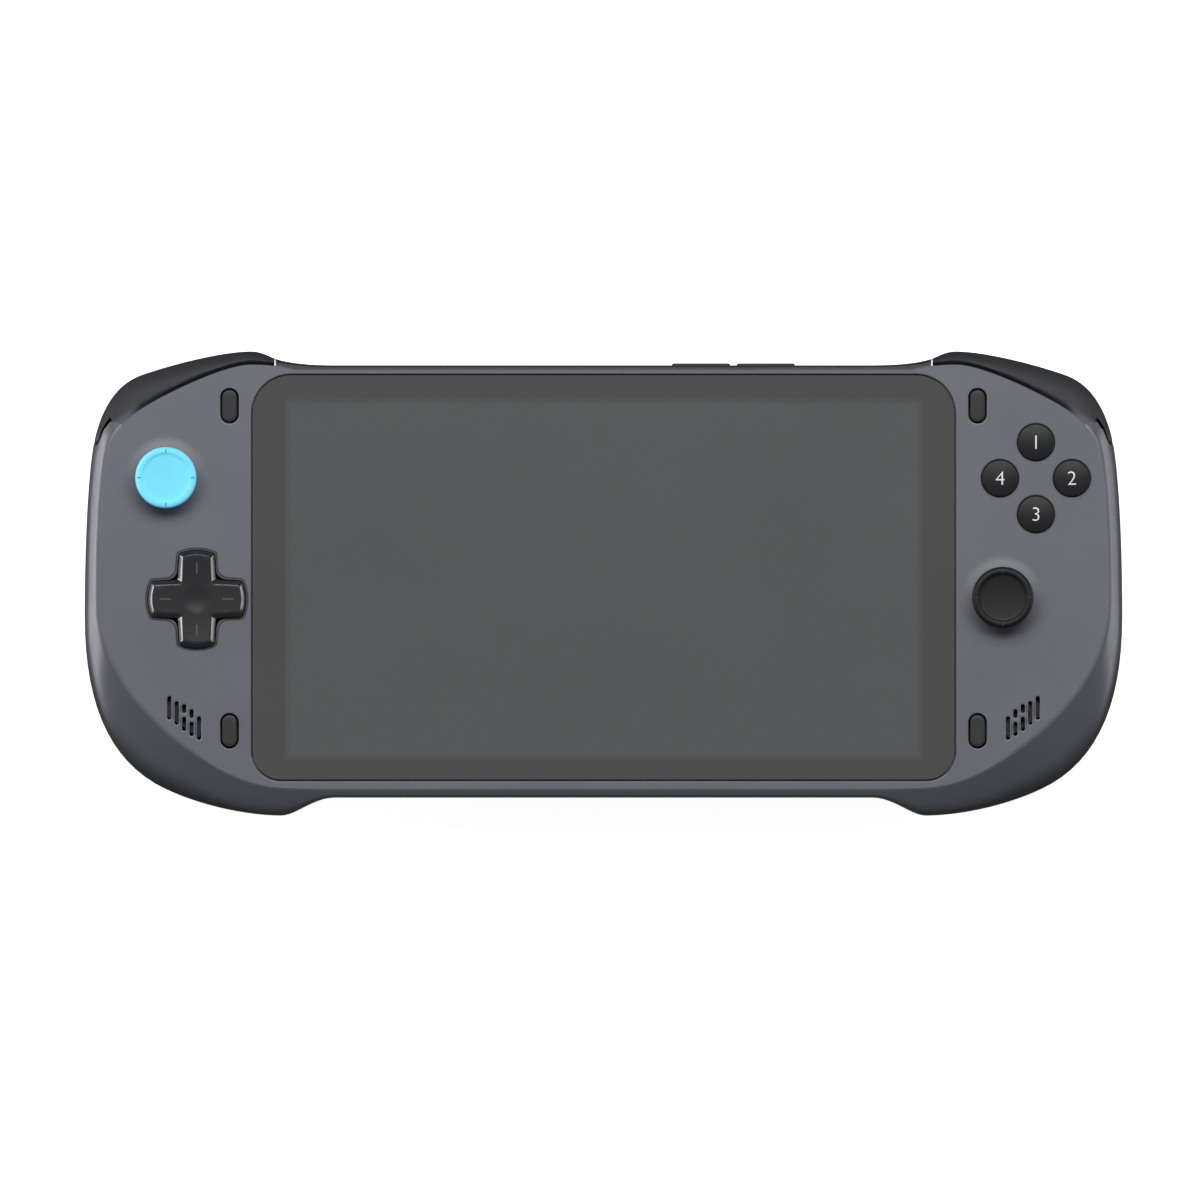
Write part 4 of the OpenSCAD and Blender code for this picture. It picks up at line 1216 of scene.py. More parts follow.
@dataclass
class FrontShell:
    """Front moulding: flat face with its openings, rounded side and the recess for the glass."""

    face_z: float = LAYOUT.face_z
    plate_z: float = 30.8
    ledge_z: float = 31.8
    wall: float = 2.0
    inner_band: float = 5.3
    inner_angles: Tuple[float, ...] = (90, 75, 60, 45, 28)
    lip: float = 0.45
    crisp: float = 0.06
    crease: float = 20.0
    support: float = 0.3
    fillet: float = 0.12
    round_steps: Pairs = ((1.0, 0.0), (0.55, 0.1), (0.2, 0.4), (0.0, 1.0))
    groove: float = 0.22
    hook_z: float = 30.7
    rim_shares: Tuple[float, ...] = (
        0.0, 0.04, 0.13, 0.25, 0.37, 0.48, 0.58, 0.67, 0.75, 0.82, 0.88, 0.93, 0.965, 0.985)
    glass: Plan = rect_plan((-86, -48.1), (86, 51), 9.5, 7)
    window: Plan = rect_plan((-79.4, -44.4), (79.4, 46.6), 1, 1, 4)
    glass_fillet: float = 0.05
    glass_gap: float = 0.38
    glass_trim: float = 0.12
    glass_edge: Pairs = ((0.0, 1.2), (0.0, 0.015), (0.015, 0.0), (0.05, 0.0), (0.6, 0.0))
    collar_ring: Pairs = (
        (10.6, 0.0), (10.3, 0.0), (9.8, 0.04), (9.2, 0.16), (8.6, 0.36), (8.0, 0.56), (7.4, 0.72),
        (6.9, 0.79), (6.5, 0.78), (6.3, 0.7), (6.26, 0.6))
    swell: float = 0.26
    socket_r: float = 9.9
    socket_zs: Tuple[float, ...] = (33.2, 32.8, 32.2, 31.5)
    dpad_hole: Tuple[float, float, float, float, int] = (4.74, 12.04, 2.4, 0.9, 6)
    dpad_lip: Pairs = (
        (0.64, 0.0), (0.6, 0.0), (0.57, 0.3), (0.33, 0.3), (0.3, 0.03), (0.2, 0.04), (0.05, 0.14),
        (0.0, 0.4))
    button_hole_r: float = 4.65
    pill_hole: float = 4.5
    grille_middle: Pair = (102.7, -33.0)
    grille_pitch: float = 1.82
    grille_lean: float = 0.68
    grille_width: float = 1.0
    grille_fillet: float = 0.18
    whole_span: Pairs = ((2.4, -2.3),)
    split_spans: Pairs = ((2.9, 1.8), (-0.2, -2.6))

    def collar(self) -> List[Pair]:
        """Profile of the soft ring round a stick, then of the ball socket below it.

        Returns:
            Pairs of radius and height.
        """
        profile = [(r, self.face_z + self.swell * z) for r, z in self.collar_ring]
        for z in (*self.socket_zs, self.plate_z):
            profile.append((math.sqrt(self.socket_r**2 - (z - LAYOUT.stick_pivot_z) ** 2), z))
        return profile

    def rounded(self, fillet: float) -> List[Pair]:
        """Lining of an opening with a rounded upper edge.

        Args:
            fillet: the rounding's radius.

        Returns:
            Pairs of growth and height.
        """
        edge = [(grow * fillet, self.face_z - drop * fillet) for grow, drop in self.round_steps]
        return [(fillet + self.support, self.face_z), *edge, (0.0, self.plate_z)]

    def grille(self, side: Side) -> List[Plan]:
        """The slots over one speaker, two of them in two parts.

        Args:
            side: the speaker's side.

        Returns:
            One plan for each slot.
        """
        slots = []
        for k in range(5):
            u = (k - 2) * self.grille_pitch
            x = side.value * (self.grille_middle[0] + u)
            y = self.grille_middle[1] + self.grille_lean * u
            spans = self.split_spans if k in (1, 2) else self.whole_span
            slots += [slot_plan((x, y + a), (x, y + b), self.grille_width) for a, b in spans]
        return slots

    def openings(self) -> List[Tuple[Plan, List[Pair]]]:
        """Every opening of the face but the glass.

        Returns:
            Each opening's plan with its lining.
        """
        found = [(round_plan(p, 0.0, 72), self.collar()) for p in LAYOUT.sticks]
        chamfer = [(grow, self.face_z - drop) for grow, drop in self.dpad_lip]
        found.append((cross_plan(LAYOUT.dpad, *self.dpad_hole, LAYOUT.dpad_taper),
                      chamfer + [(0.0, self.plate_z)]))
        holes = [round_plan(LAYOUT.button_place(dx, dy), self.button_hole_r, 48)
                 for _, dx, dy in LAYOUT.action_ways]
        holes += [LAYOUT.pill_plan(side, y, self.pill_hole) for side in Side for y in LAYOUT.pill_ys]
        found += [(hole, self.rounded(self.fillet)) for hole in holes]
        for side in Side:
            found += [(slot, self.rounded(self.grille_fillet)) for slot in self.grille(side)]
        return found

    def build(self) -> bpy.types.Object:
        """Make the closed moulding.

        Returns:
            The moulding.
        """
        shape = Shape()
        edge = OUTLINE.loop(0.0)
        openings = self.openings()
        glass = [(grow + self.glass_gap, z) for grow, z in self.rounded(self.glass_fillet)[:-1]]
        glass.append((self.glass_gap, self.ledge_z))
        starts = [plan(lining[0][0]) for plan, lining in openings] + [self.glass(glass[0][0])]
        shape.fill(inset(edge, self.lip + self.support), starts, self.face_z)
        for plan, lining in openings + [(self.glass, glass)]:
            shape.hole(plan, lining)
        shape.fill(self.glass(self.glass_gap), [self.window(0.0)], self.ledge_z)
        shape.hole(self.window, [(0.0, self.ledge_z), (0.0, self.plate_z)])
        flat = [shape.at(inset(edge, d), self.face_z) for d in (self.lip + self.support, self.lip)]
        shape.band(flat)
        outer, inner = self._side_rings(flat[-1])
        for run in (OUTLINE.top_run, OUTLINE.low_run):
            shape.band([ring[run] for ring in outer + inner], closed=False)
        step = [flat[-1], shape.at(inset(edge, self.crisp), self.face_z),
                shape.at(edge, self.face_z - self.crisp), shape.at(edge, self.plate_z)]
        for room in (OUTLINE.right_room, OUTLINE.left_room):
            shape.band([ring[room] for ring in step], closed=False)
            for end in (room[0], room[-1]):
                shape.polygon(np.array([ring[end] for ring in step + (outer[1:] + inner)[::-1]]))
        below = np.vstack([edge[OUTLINE.right_room], inner[-1][OUTLINE.low_run, :2],
                           edge[OUTLINE.left_room], inner[-1][OUTLINE.top_run, :2]])
        ends = [plan(lining[-1][0]) for plan, lining in openings] + [self.window(0.0)]
        shape.fill(below, ends, self.plate_z)
        return shape.make("front_moulding", "front_shell", self.crease)

    def _side_rings(self, first: np.ndarray) -> Tuple[List[np.ndarray], List[np.ndarray]]:
        """Rings down the outside of the rounded side, and up its inside.

        Args:
            first: the ring on the face that the side starts from.

        Returns:
            The outer rings from the face down, and the inner rings from the rim up.
        """
        outer = [first] + [OUTLINE.rim(share) for share in self.rim_shares]
        side = OUTLINE.loop(1.0)
        outer += [Shape.at(side, OUTLINE.PART_Z + self.groove),
                  Shape.at(inset(side, self.groove), OUTLINE.PART_Z)]
        inner = []
        for angle in self.inner_angles:
            share, rise = OUTLINE.share_at(angle), OUTLINE.rise_at(angle, self.inner_band)
            hook = OUTLINE.slanted(share) < OUTLINE.ROOM_END
            rises = np.where(hook, max(rise, self.hook_z), rise)
            rises = np.concatenate([rises, rises[::-1]])
            inner.append(Shape.at(inset(OUTLINE.loop(share), self.wall), rises))
        return outer, inner

    def dress(self) -> None:
        """Build the moulding and its glass and put them on the chassis."""
        settle(self.build(), Body.CHASSIS, "front_shell", "front_shell")
        glass = Shape()
        profile = [(-self.glass_trim - grow, self.face_z - drop) for grow, drop in self.glass_edge]
        glass.hole(self.glass, profile)
        for grow, z in (profile[0], profile[-1]):
            glass.polygon(Shape.at(self.glass(grow), z))
        settle(glass.make("screen_glass", "glass"), Body.CHASSIS, "glass", "cover_glass")


@dataclass
class RearShell:
    """Rear moulding: flat back with vents, two deep grips, ports and the cheeks of the triggers."""

    back_z: float = 17.5
    floor_z: float = 19.5
    rim_z: float = 25.5
    room_z: float = 20.1
    back_round: float = 3.5
    wall: float = 2.0
    groove: float = 0.22
    grip_depth: float = 23.4
    grip_middle: Pair = (106.0, -6.0)
    rest: Pair = (11.0, 30.0)
    blend: float = 4.0
    half_plan: Pair = (127.0, 57.0)
    mesh_step: float = 1.15
    mesh_margin: float = 4.1
    edge_insets: Tuple[float, ...] = (0.06, 0.2, 0.45, 0.8, 1.25, 1.8, 2.6, 3.5)
    fillet_shares: Tuple[float, ...] = (
        0.86, 0.89, 0.91, 0.93, 0.945, 0.958, 0.97, 0.98, 0.988, 0.994, 0.998, 1.012, 1.045)
    fillet_turn: Tuple[float, float, float] = (80, 281, 1.25)
    fillet_clear: float = 0.03
    fillet_end_x: float = 104.0
    hole_edge: Pairs = ((0.5, 0.0), (0.2, 0.0), (0.05, 0.06), (0.0, 0.2))
    bore_r: float = 1.9
    bore_depth: float = 1.1
    vent_pitch: float = 3.6
    vent_half_run: float = 5.2
    vent_width: float = 1.6
    vent_rows: Pair = (16.0, 32.0)
    vent_count: int = 9
    port_z: float = 22.1
    port_wall: Pair = (-54.5, -49.8)
    usb_half_run: float = 2.9
    usb_height: float = 3.5
    jack: Pair = (-58.0, 2.45)
    card_span: Pair = (21.85, 34.15)
    card_half: float = 0.62
    key_wall: Pair = (50.8, 55.5)
    key_spans: Pairs = ((16.65, 31.15), (32.55, 47.05), (-44.65, -35.35))
    key_half: float = 1.45
    cheeks: Pairs = ((86.3, 88.2), (112.8, 115.4))
    cheek_r: float = 3.2
    cheek_foot: Pairs = ((37.5, 17.2), (37.5, 18.5), (46.2, 18.5), (46.2, 17.2))
    cheek_bevel: Pair = (0.3, 0.93)

    def __post_init__(self) -> None:
        """Work out the grip's reach in every direction from its middle."""
        self.side = OUTLINE.loop(1.0)
        share = np.linspace(0, 1, 60)
        curves = [*OUTLINE.curves(1.0, 4, 6), *OUTLINE.GRIP]
        away = np.vstack([bezier(c, share) for c in curves]) - np.array(self.grip_middle)
        angle = np.arctan2(away[:, 1], away[:, 0])
        order = np.argsort(angle)
        self.way, self.reach = angle[order], np.linalg.norm(away, axis=1)[order]

    def depth_in(self, points: Loop) -> np.ndarray:
        """Each point's distance from the widest line, up to the back's rounding.

        Args:
            points: points of the plan.

        Returns:
            One distance for each point.
        """
        best = np.full(len(points), self.back_round)
        for a, b in zip(self.side, np.roll(self.side, -1, 0)):
            low, high = np.minimum(a, b) - self.back_round, np.maximum(a, b) + self.back_round
            near = np.all((points > low) & (points < high), axis=1)
            if near.any():
                p, line = points[near] - a, b - a
                share = np.clip(p @ line / (line @ line), 0, 1)
                best[near] = np.minimum(best[near], np.linalg.norm(p - share[:, None] * line, axis=1))
        return best

    def grip_run(self, angle: np.ndarray) -> Tuple[np.ndarray, np.ndarray]:
        """Distances from the grip's middle to the edge of its flat rest and to its own edge."""
        flat = 1 / np.sqrt((np.cos(angle) / self.rest[0]) ** 2 + (np.sin(angle) / self.rest[1]) ** 2)
        return flat, np.interp(angle, self.way, self.reach, period=2 * math.pi)

    def grip_share(self, points: Loop) -> np.ndarray:
        """Where points lie between the grip's flat rest, at 0, and its edge, at 1.

        Args:
            points: points of the plan.

        Returns:
            One share for each point.
        """
        away = np.column_stack([np.abs(points[:, 0]), points[:, 1]]) - np.array(self.grip_middle)
        flat, reach = self.grip_run(np.arctan2(away[:, 1], away[:, 0]))
        return (np.linalg.norm(away, axis=1) - flat) / (reach - flat)

    def fillet_seeds(self) -> Loop:
        """Points in rings along the fillet between each grip and the back.

        Returns:
            The points of both grips.
        """
        angle = np.radians(np.arange(*self.fillet_turn))
        flat, reach = self.grip_run(angle)
        way = np.column_stack([np.cos(angle), np.sin(angle)])
        right = np.vstack([np.array(self.grip_middle) + (flat + (reach - flat) * share)[:, None] * way
                           for share in self.fillet_shares])
        return np.vstack([right, right * (-1, 1)])

    def height(self, points: Loop) -> np.ndarray:
        """Height of the outside: flat back and grips with a fillet between.

        Args:
            points: points of the plan.

        Returns:
            One height for each point.
        """
        d = self.depth_in(points)
        slab = self.back_z + self.back_round - np.sqrt(np.maximum(d * (2 * self.back_round - d), 0))
        share = np.clip(self.grip_share(points), 0, 1)
        grip = self.grip_depth * (1 - np.sqrt(1 - share**2))
        pull = np.clip(0.5 + 0.5 * (slab - grip) / self.blend, 0, 1)
        z = slab * (1 - pull) + grip * pull - self.blend * pull * (1 - pull)
        (start, _), (_, end) = self.side[OUTLINE.room_start], self.side[OUTLINE.room_end]
        in_room = (np.abs(points[:, 0]) > start - 0.1) & (points[:, 1] > end - 0.2)
        return np.maximum(np.where(in_room, np.minimum(z, self.room_z), z), 0.0)

    def vents(self) -> List[Plan]:
        """Slots over the main board.

        Returns:
            One plan for each slot.
        """
        xs = [self.vent_pitch * (k - self.vent_count // 2) for k in range(self.vent_count)]
        run = self.vent_half_run
        return [slot_plan((x, y - run), (x, y + run), self.vent_width) for x in xs for y in self.vent_rows]

    def mesh_points(self) -> Loop:
        """Points that the outside passes through: rings at its edge, an even grid and the fillets.

        Returns:
            The points of the plan.
        """
        rings = [inset(self.side, d) for d in self.edge_insets]
        grid = grid_points(*self.half_plan, self.mesh_step)
        share = self.grip_share(grid)
        first, last = self.fillet_shares[0] - self.fillet_clear, self.fillet_shares[-1] + self.fillet_clear
        grid = grid[(share < first) | (share > last) | (np.abs(grid[:, 0]) > self.fillet_end_x)]
        grid = np.vstack([grid, self.fillet_seeds()])
        return np.vstack(rings + [grid[within(grid, inset(self.side, self.mesh_margin))]])

    def build(self) -> bpy.types.Object:
        """Make the closed moulding with its ports cut out.

        Returns:
            The moulding.
        """
        shape = Shape()
        vents, bores = self.vents(), [round_plan(p, self.bore_r, 36) for p in LAYOUT.screws]
        lip = [(grow, self.back_z + rise) for grow, rise in self.hole_edge]
        slot, bore = lip + [(0.0, self.floor_z)], lip + [(0.0, self.back_z + self.bore_depth)]
        holes = [plan(lip[0][0]) for plan in vents + bores]
        shape.fill(self.side, holes, self.height, self.mesh_points())
        for plan in vents:
            shape.hole(plan, slot)
        for plan in bores:
            shape.hole(plan, bore).polygon(shape.at(plan(0.0), bore[-1][1]))
        edge, inner = self.height(self.side), inset(self.side, self.wall)
        low = shape.at(self.side, edge)
        rim = [low, shape.at(self.side, (2 * edge + self.rim_z) / 3),
               shape.at(self.side, self.rim_z - self.groove),
               shape.at(inset(self.side, self.groove), self.rim_z),
               shape.at(inner, self.rim_z), shape.at(inner, self.room_z)]
        floor = shape.at(inner, self.floor_z)
        for run in (OUTLINE.top_run, OUTLINE.low_run):
            shape.band([ring[run] for ring in rim + [floor]], closed=False)
        for room in (OUTLINE.right_room, OUTLINE.left_room):
            shape.band([ring[room] for ring in (low, rim[-1], floor)], closed=False)
            for end in (room[0], room[-1]):
                shape.polygon(np.array([ring[end] for ring in rim]))
        shape.fill(inner, [plan(0.0) for plan in vents], self.floor_z)
        return carved(shape.make("rear_moulding", "rear_shell"), self.ports(), "rear_shell")

    def ports(self) -> List[Shape]:
        """The solids that the ports and the edge keys take out of the wall.

        Returns:
            Closed shapes.
        """
        z, key = self.port_z, LAYOUT.edge_key_z
        usb, card, half = self.usb_half_run, self.card_half, self.key_half
        low = [slot_plan((-usb, z), (usb, z), self.usb_height, 12),
               round_plan((self.jack[0], z), self.jack[1], 40),
               rect_plan((self.card_span[0], z - card), (self.card_span[1], z + card), 0.2, 0.2, 3)]
        keys = [rect_plan((a, key - half), (b, key + half), 0.3, 0.3, 3) for a, b in self.key_spans]
        walls = [(plan, self.port_wall) for plan in low] + [(plan, self.key_wall) for plan in keys]
        return [Shape().closed([Shape.at(plan(0.0), y) for y in wall]).turned(upright)
                for plan, wall in walls]

    def dress(self) -> None:
        """Build the moulding and the cheeks and put them on the chassis."""
        settle(self.build(), Body.CHASSIS, "rear_shell", "rear_shell")
        cheeks = Shape()
        (y, z), r = LAYOUT.hinge, self.cheek_r
        turn = np.radians(np.linspace(-15, 195, 25))
        ring = np.vstack([np.column_stack([y + r * np.cos(turn), z - r * np.sin(turn)]), self.cheek_foot])
        middle = ring.mean(0)
        bevel, small = self.cheek_bevel
        for side in Side:
            for x0, x1 in self.cheeks:
                cheeks.closed([
                    np.column_stack([np.full(len(ring), side.value * x), (ring - middle) * k + middle])
                    for x, k in ((x0, small), (x0 + bevel, 1.0), (x1 - bevel, 1.0), (x1, small))])
        settle(cheeks.make("trigger_cheeks", "rear_shell"), Body.CHASSIS, "rear_shell")


def carved(obj: bpy.types.Object, cutters: Sequence[Shape], look: str) -> bpy.types.Object:
    """Cut closed shapes out of an object.

    Args:
        obj: the object.
        cutters: the shapes to take away.
        look: the object's finish.

    Returns:
        A new object of the same name in place of the old one.
    """
    whole = Shape()
    for cutter in cutters:
        first = whole.put(np.vstack(cutter.points))
        whole.faces += [tuple(first + k for k in f) for f in cutter.faces]
    knife = placed("knife", whole.mesh("knife"), look)
    cut = obj.modifiers.new("cut", "BOOLEAN")
    cut.operation, cut.solver, cut.object = "DIFFERENCE", "EXACT", knife
    mesh, name = plain_mesh(obj), obj.name
    for old in (obj, knife):
        bpy.data.objects.remove(old)
    return placed(name, smoothed(mesh), look)


class RepeatTree:
    """Geometry Nodes tree that sets a template on every point of a mesh, each turned on from the last."""

    def __init__(self) -> None:
        """Build the tree with its named inputs."""
        self.group = bpy.data.node_groups.new("repeat_on_points", "GeometryNodeTree")
        face = self.group.interface
        face.new_socket("Geometry", in_out="INPUT", socket_type="NodeSocketGeometry")
        kinds = {"Template": "Object", "Start": "Float", "Turn": "Float", "Finish": "Material"}
        self.inputs = {
            name: face.new_socket(name, in_out="INPUT", socket_type=f"NodeSocket{kind}").identifier
            for name, kind in kinds.items()}
        face.new_socket("Geometry", in_out="OUTPUT", socket_type="NodeSocketGeometry")
        start = self._add("NodeGroupInput")
        template = self._add("GeometryNodeObjectInfo", {"Object": start.outputs["Template"]})
        steps = self._add("ShaderNodeMath", {0: self._add("GeometryNodeInputIndex").outputs[0],
                                             1: start.outputs["Turn"]}, operation="MULTIPLY")
        angle = self._add("ShaderNodeMath", {0: steps.outputs[0], 1: start.outputs["Start"]}, operation="ADD")
        turn = self._add("ShaderNodeCombineXYZ", {"Z": angle.outputs[0]})
        spread = self._add("GeometryNodeInstanceOnPoints", {
            "Points": start.outputs["Geometry"], "Instance": template.outputs["Geometry"],
            "Rotation": turn.outputs[0]})
        real = self._add("GeometryNodeRealizeInstances", {"Geometry": spread.outputs[0]})
        coat = self._add("GeometryNodeSetMaterial", {
            "Geometry": real.outputs[0], "Material": start.outputs["Finish"]})
        self._add("NodeGroupOutput", {0: coat.outputs[0]})

    def _add(self, kind: str, links: Optional[Dict[Union[str, int], object]] = None,
             **settings: object) -> "bpy.types.Node":
        """Add a node.

        Args:
            kind: the node's type.
            links: the sockets that feed its inputs.
            settings: its properties.

        Returns:
            The node.
        """
        node = self.group.nodes.new(kind)
        for key, value in settings.items():
            setattr(node, key, value)
        for key, value in (links or {}).items():
            self.group.links.new(value, node.inputs[key])
        return node

    def spread(self, name: str, places: Sequence[Point], template: Shape, look: str,
               start: float = 0.0, turn: float = 0.0) -> bpy.types.Object:
        """Set a template on places.

        Args:
            name: the new object's name.
            places: the points, in millimetres.
            template: the shape that repeats, about the origin.
            look: the finish.
            start: the first one's turn about Z, in degrees.
            turn: how much further each next one is turned, in degrees.

        Returns:
            One object with a plain mesh.
        """
        points = bpy.data.meshes.new(name + "_points")
        points.from_pydata([tuple(c * MM for c in p) for p in places], [], [])
        carrier, pattern = placed(name + "_points", points), template.make(name + "_pattern", look)
        nodes = carrier.modifiers.new("repeat", "NODES")
        nodes.node_group = self.group
        nodes[self.inputs["Template"]] = pattern
        nodes[self.inputs["Start"]] = math.radians(start)
        nodes[self.inputs["Turn"]] = math.radians(turn)
        nodes[self.inputs["Finish"]] = FINISHES[look]
        mesh = plain_mesh(carrier)
        carrier.modifiers.remove(nodes)
        for old in (carrier, pattern):
            bpy.data.objects.remove(old)
        return placed(name, smoothed(mesh), look)


REPEAT = RepeatTree()


def post(plan: Plan, profile: Sequence[Pair]) -> Shape:
    """A closed post: a flat foot, sides through a profile and a flat top.

    Args:
        plan: the outline that can be grown.
        profile: pairs of growth and height, from the foot up.

    Returns:
        The shape.
    """
    shape = Shape().hole(plan, profile)
    shape.polygon(Shape.at(plan(profile[0][0]), profile[0][1]))
    return shape.fill(plan(profile[-1][0]), [], profile[-1][1])


@dataclass
class ThumbStick:
    """One stick: rubber cap with a dished top and ticks on its rim, over a dark dust skirt."""

    side: Side
    place: Pair
    slot: str
    mark: str
    top_z: float = 40.4
    low_z: float = 37.4
    radius: float = 7.5
    neck_r: float = 2.6
    neck_end: float = 8.9
    dish: Pairs = (
        (0.0, 0.7), (1.2, 0.69), (2.4, 0.65), (3.5, 0.59), (4.4, 0.54), (5.0, 0.49), (5.4, 0.45),
        (5.65, 0.39), (5.8, 0.29), (5.93, 0.17), (6.07, 0.09), (6.3, 0.05), (6.8, 0.06), (7.08, 0.15),
        (7.3, 0.38), (7.45, 0.7))
    skirt_r: float = 9.5
    skirt_wall: float = 0.8
    skirt_angles: Pair = (14.0, 66.0)
    rib_count: int = 60
    rib_depth: float = 0.12
    rib_drop: float = 1.28
    tick_run: Pair = (6.1, 7.0)
    tick_half: float = 0.12

    def cap(self) -> bpy.types.Object:
        """Make the cap with its neck.

        Returns:
            The cap.
        """
        top, low, r, end = self.top_z, self.low_z, self.radius, LAYOUT.stick_pivot_z + self.neck_end
        profile = [(k, top - drop) for k, drop in self.dish]
        profile += [(r, top - 1.0), (r, top - 1.7), (r - 0.12, top - 2.2), (r - 0.45, top - 2.7)]
        profile += [(r - 1.0, low + 0.08), (r - 1.6, low), (3.6, low), (3.0, low - 0.15)]
        profile += [(self.neck_r, low - 0.6), (self.neck_r, end), (0.0, end)]
        return Shape().spun(self.place, profile, 72).make(f"{self.side.word}_thumb_cap", self.slot)

    def skirt(self) -> bpy.types.Object:
        """Make the ball-shaped skirt that closes the opening below the cap.

        Returns:
            The skirt.
        """
        angles, pivot = np.radians(np.linspace(*self.skirt_angles, 16)), LAYOUT.stick_pivot_z
        arc = [(self.skirt_r * math.sin(a), pivot + self.skirt_r * math.cos(a)) for a in angles]
        inner = 1 - self.skirt_wall / self.skirt_r
        back = [(k * inner, pivot + (z - pivot) * inner) for k, z in arc[::-1]]
        shape = Shape().spun(self.place, arc + back + arc[:1], 64)
        return shape.make(f"{self.side.word}_dust_skirt", "black_plastic")

    def ribs(self) -> bpy.types.Object:
        """Make the fine upright ribs round the cap's edge.

        Returns:
            The ribs.
        """
        corners = ((-1, -1), (1, -1), (1, 1), (-1, 1))
        sizes = ((self.radius - self.rib_depth, 0.16, 0.42), (self.radius, 0.07, 0.36))
        rows = [np.array([(x, y * half, z * rise) for y, z in corners]) for x, half, rise in sizes]
        middle = (*self.place, self.top_z - self.rib_drop)
        return REPEAT.spread(f"{self.side.word}_cap_ribs", [middle] * self.rib_count,
                             Shape().closed(rows), self.slot, turn=360.0 / self.rib_count)

    def ticks(self) -> bpy.types.Object:
        """Make the four ticks on the rim.

        Returns:
            The ticks.
        """
        (near, far), half = self.tick_run, self.tick_half
        bar = np.array([(near, -half), (far, -half), (far, half), (near, half)])
        tick = Shape().closed([Shape.at(bar, -0.3), Shape.at(bar, -0.02)])
        middle = (*self.place, self.top_z)
        return REPEAT.spread(f"{self.side.word}_rim_ticks", [middle] * 4, tick, self.mark, turn=90.0)

    def dress(self) -> None:
        """Build the stick's pieces and put them on its body."""
        body = f"{self.side.word}_stick"
        settle(self.cap(), body, self.slot, f"{self.side.word}_stick_cap")
        settle(self.skirt(), body, "black_plastic")
        settle(self.ribs(), body, self.slot)
        settle(self.ticks(), body, self.slot)


@dataclass
class DirectionPad:
    """Cross-shaped pad with broad bevels, a shallow dish and a mark on each arm."""

    place: Pair = LAYOUT.dpad
    half_width: float = 4.6
    reach: float = 11.9
    rounding: Tuple[float, float, int] = (0.8, 0.7, 6)
    foot_z: float = LAYOUT.foot_z
    top_z: float = 35.4
    bevel: float = 0.95
    bevel_drop: float = 0.89
    margin: float = 0.3
    crease: float = 28.0
    neck: float = 0.28
    neck_z: float = 33.55
    dish: float = 0.32
    thumb_dish: float = 0.14
    thumb_r: float = 3.6
    half_grid: float = 11.0
    mesh_step: float = 0.45
    mark_xs: Tuple[float, ...] = (6.3, 6.9, 7.6, 8.3, 9.0)
    mark_half: float = 0.15

    def crown(self, points: Loop) -> np.ndarray:
        """Height of the top: a broad hollow along the arms, with a round one in the middle.

        Args:
            points: points of the plan.

        Returns:
            One height for each point.
        """
        r = np.linalg.norm(points - np.array(self.place), axis=1)
        broad = np.clip(1 - (r / (self.reach - self.bevel - self.margin)) ** 2, 0, 1)
        middle = np.clip(1 - (r / self.thumb_r) ** 2, 0, 1)
        return self.top_z - self.dish * broad - self.thumb_dish * middle**1.5

    def cross(self) -> bpy.types.Object:
        """Make the pad.

        Returns:
            The pad.
        """
        plan = cross_plan(self.place, self.half_width, self.reach, *self.rounding, LAYOUT.dpad_taper)
        end = -self.bevel - self.margin
        top = self.crown(plan(end))
        rings = [(-self.neck, self.foot_z), (-self.neck, self.neck_z), (0.0, self.neck_z + 0.5),
                 (0.0, top - self.bevel_drop - 0.1), (-0.05, top - self.bevel_drop),
                 (-self.bevel + 0.1, top - 0.13), (-self.bevel, top - 0.03), (end, top)]
        shape = Shape().band([Shape.at(plan(grow), z) for grow, z in rings])
        shape.polygon(Shape.at(plan(-self.neck), self.foot_z))
        grid = grid_points(self.half_grid, self.half_grid, self.mesh_step) + np.array(self.place)
        shape.fill(plan(end), [], self.crown, grid[within(grid, plan(end - self.margin))])
        return shape.make("direction_cross", "dpad", self.crease)

    def marks(self) -> bpy.types.Object:
        """Make the mark on each arm, which follows the hollow.

        Returns:
            The marks.
        """
        bar = np.array([(x, s * self.mark_half) for s in (-1, 1) for x in self.mark_xs[::-s]])
        level = self.crown(bar + np.array(self.place)) - self.top_z
        mark = Shape().closed([Shape.at(bar, level - 0.3), Shape.at(bar, level + 0.01)])
        middle = (*self.place, self.top_z)
        return REPEAT.spread("arm_marks", [middle] * 4, mark, "faint_mark", turn=90.0)

    def dress(self) -> None:
        """Build the pad and its marks and put them on the pad's body."""
        settle(self.cross(), Body.DPAD, "dpad", "dpad")
        settle(self.marks(), Body.DPAD, "dpad")


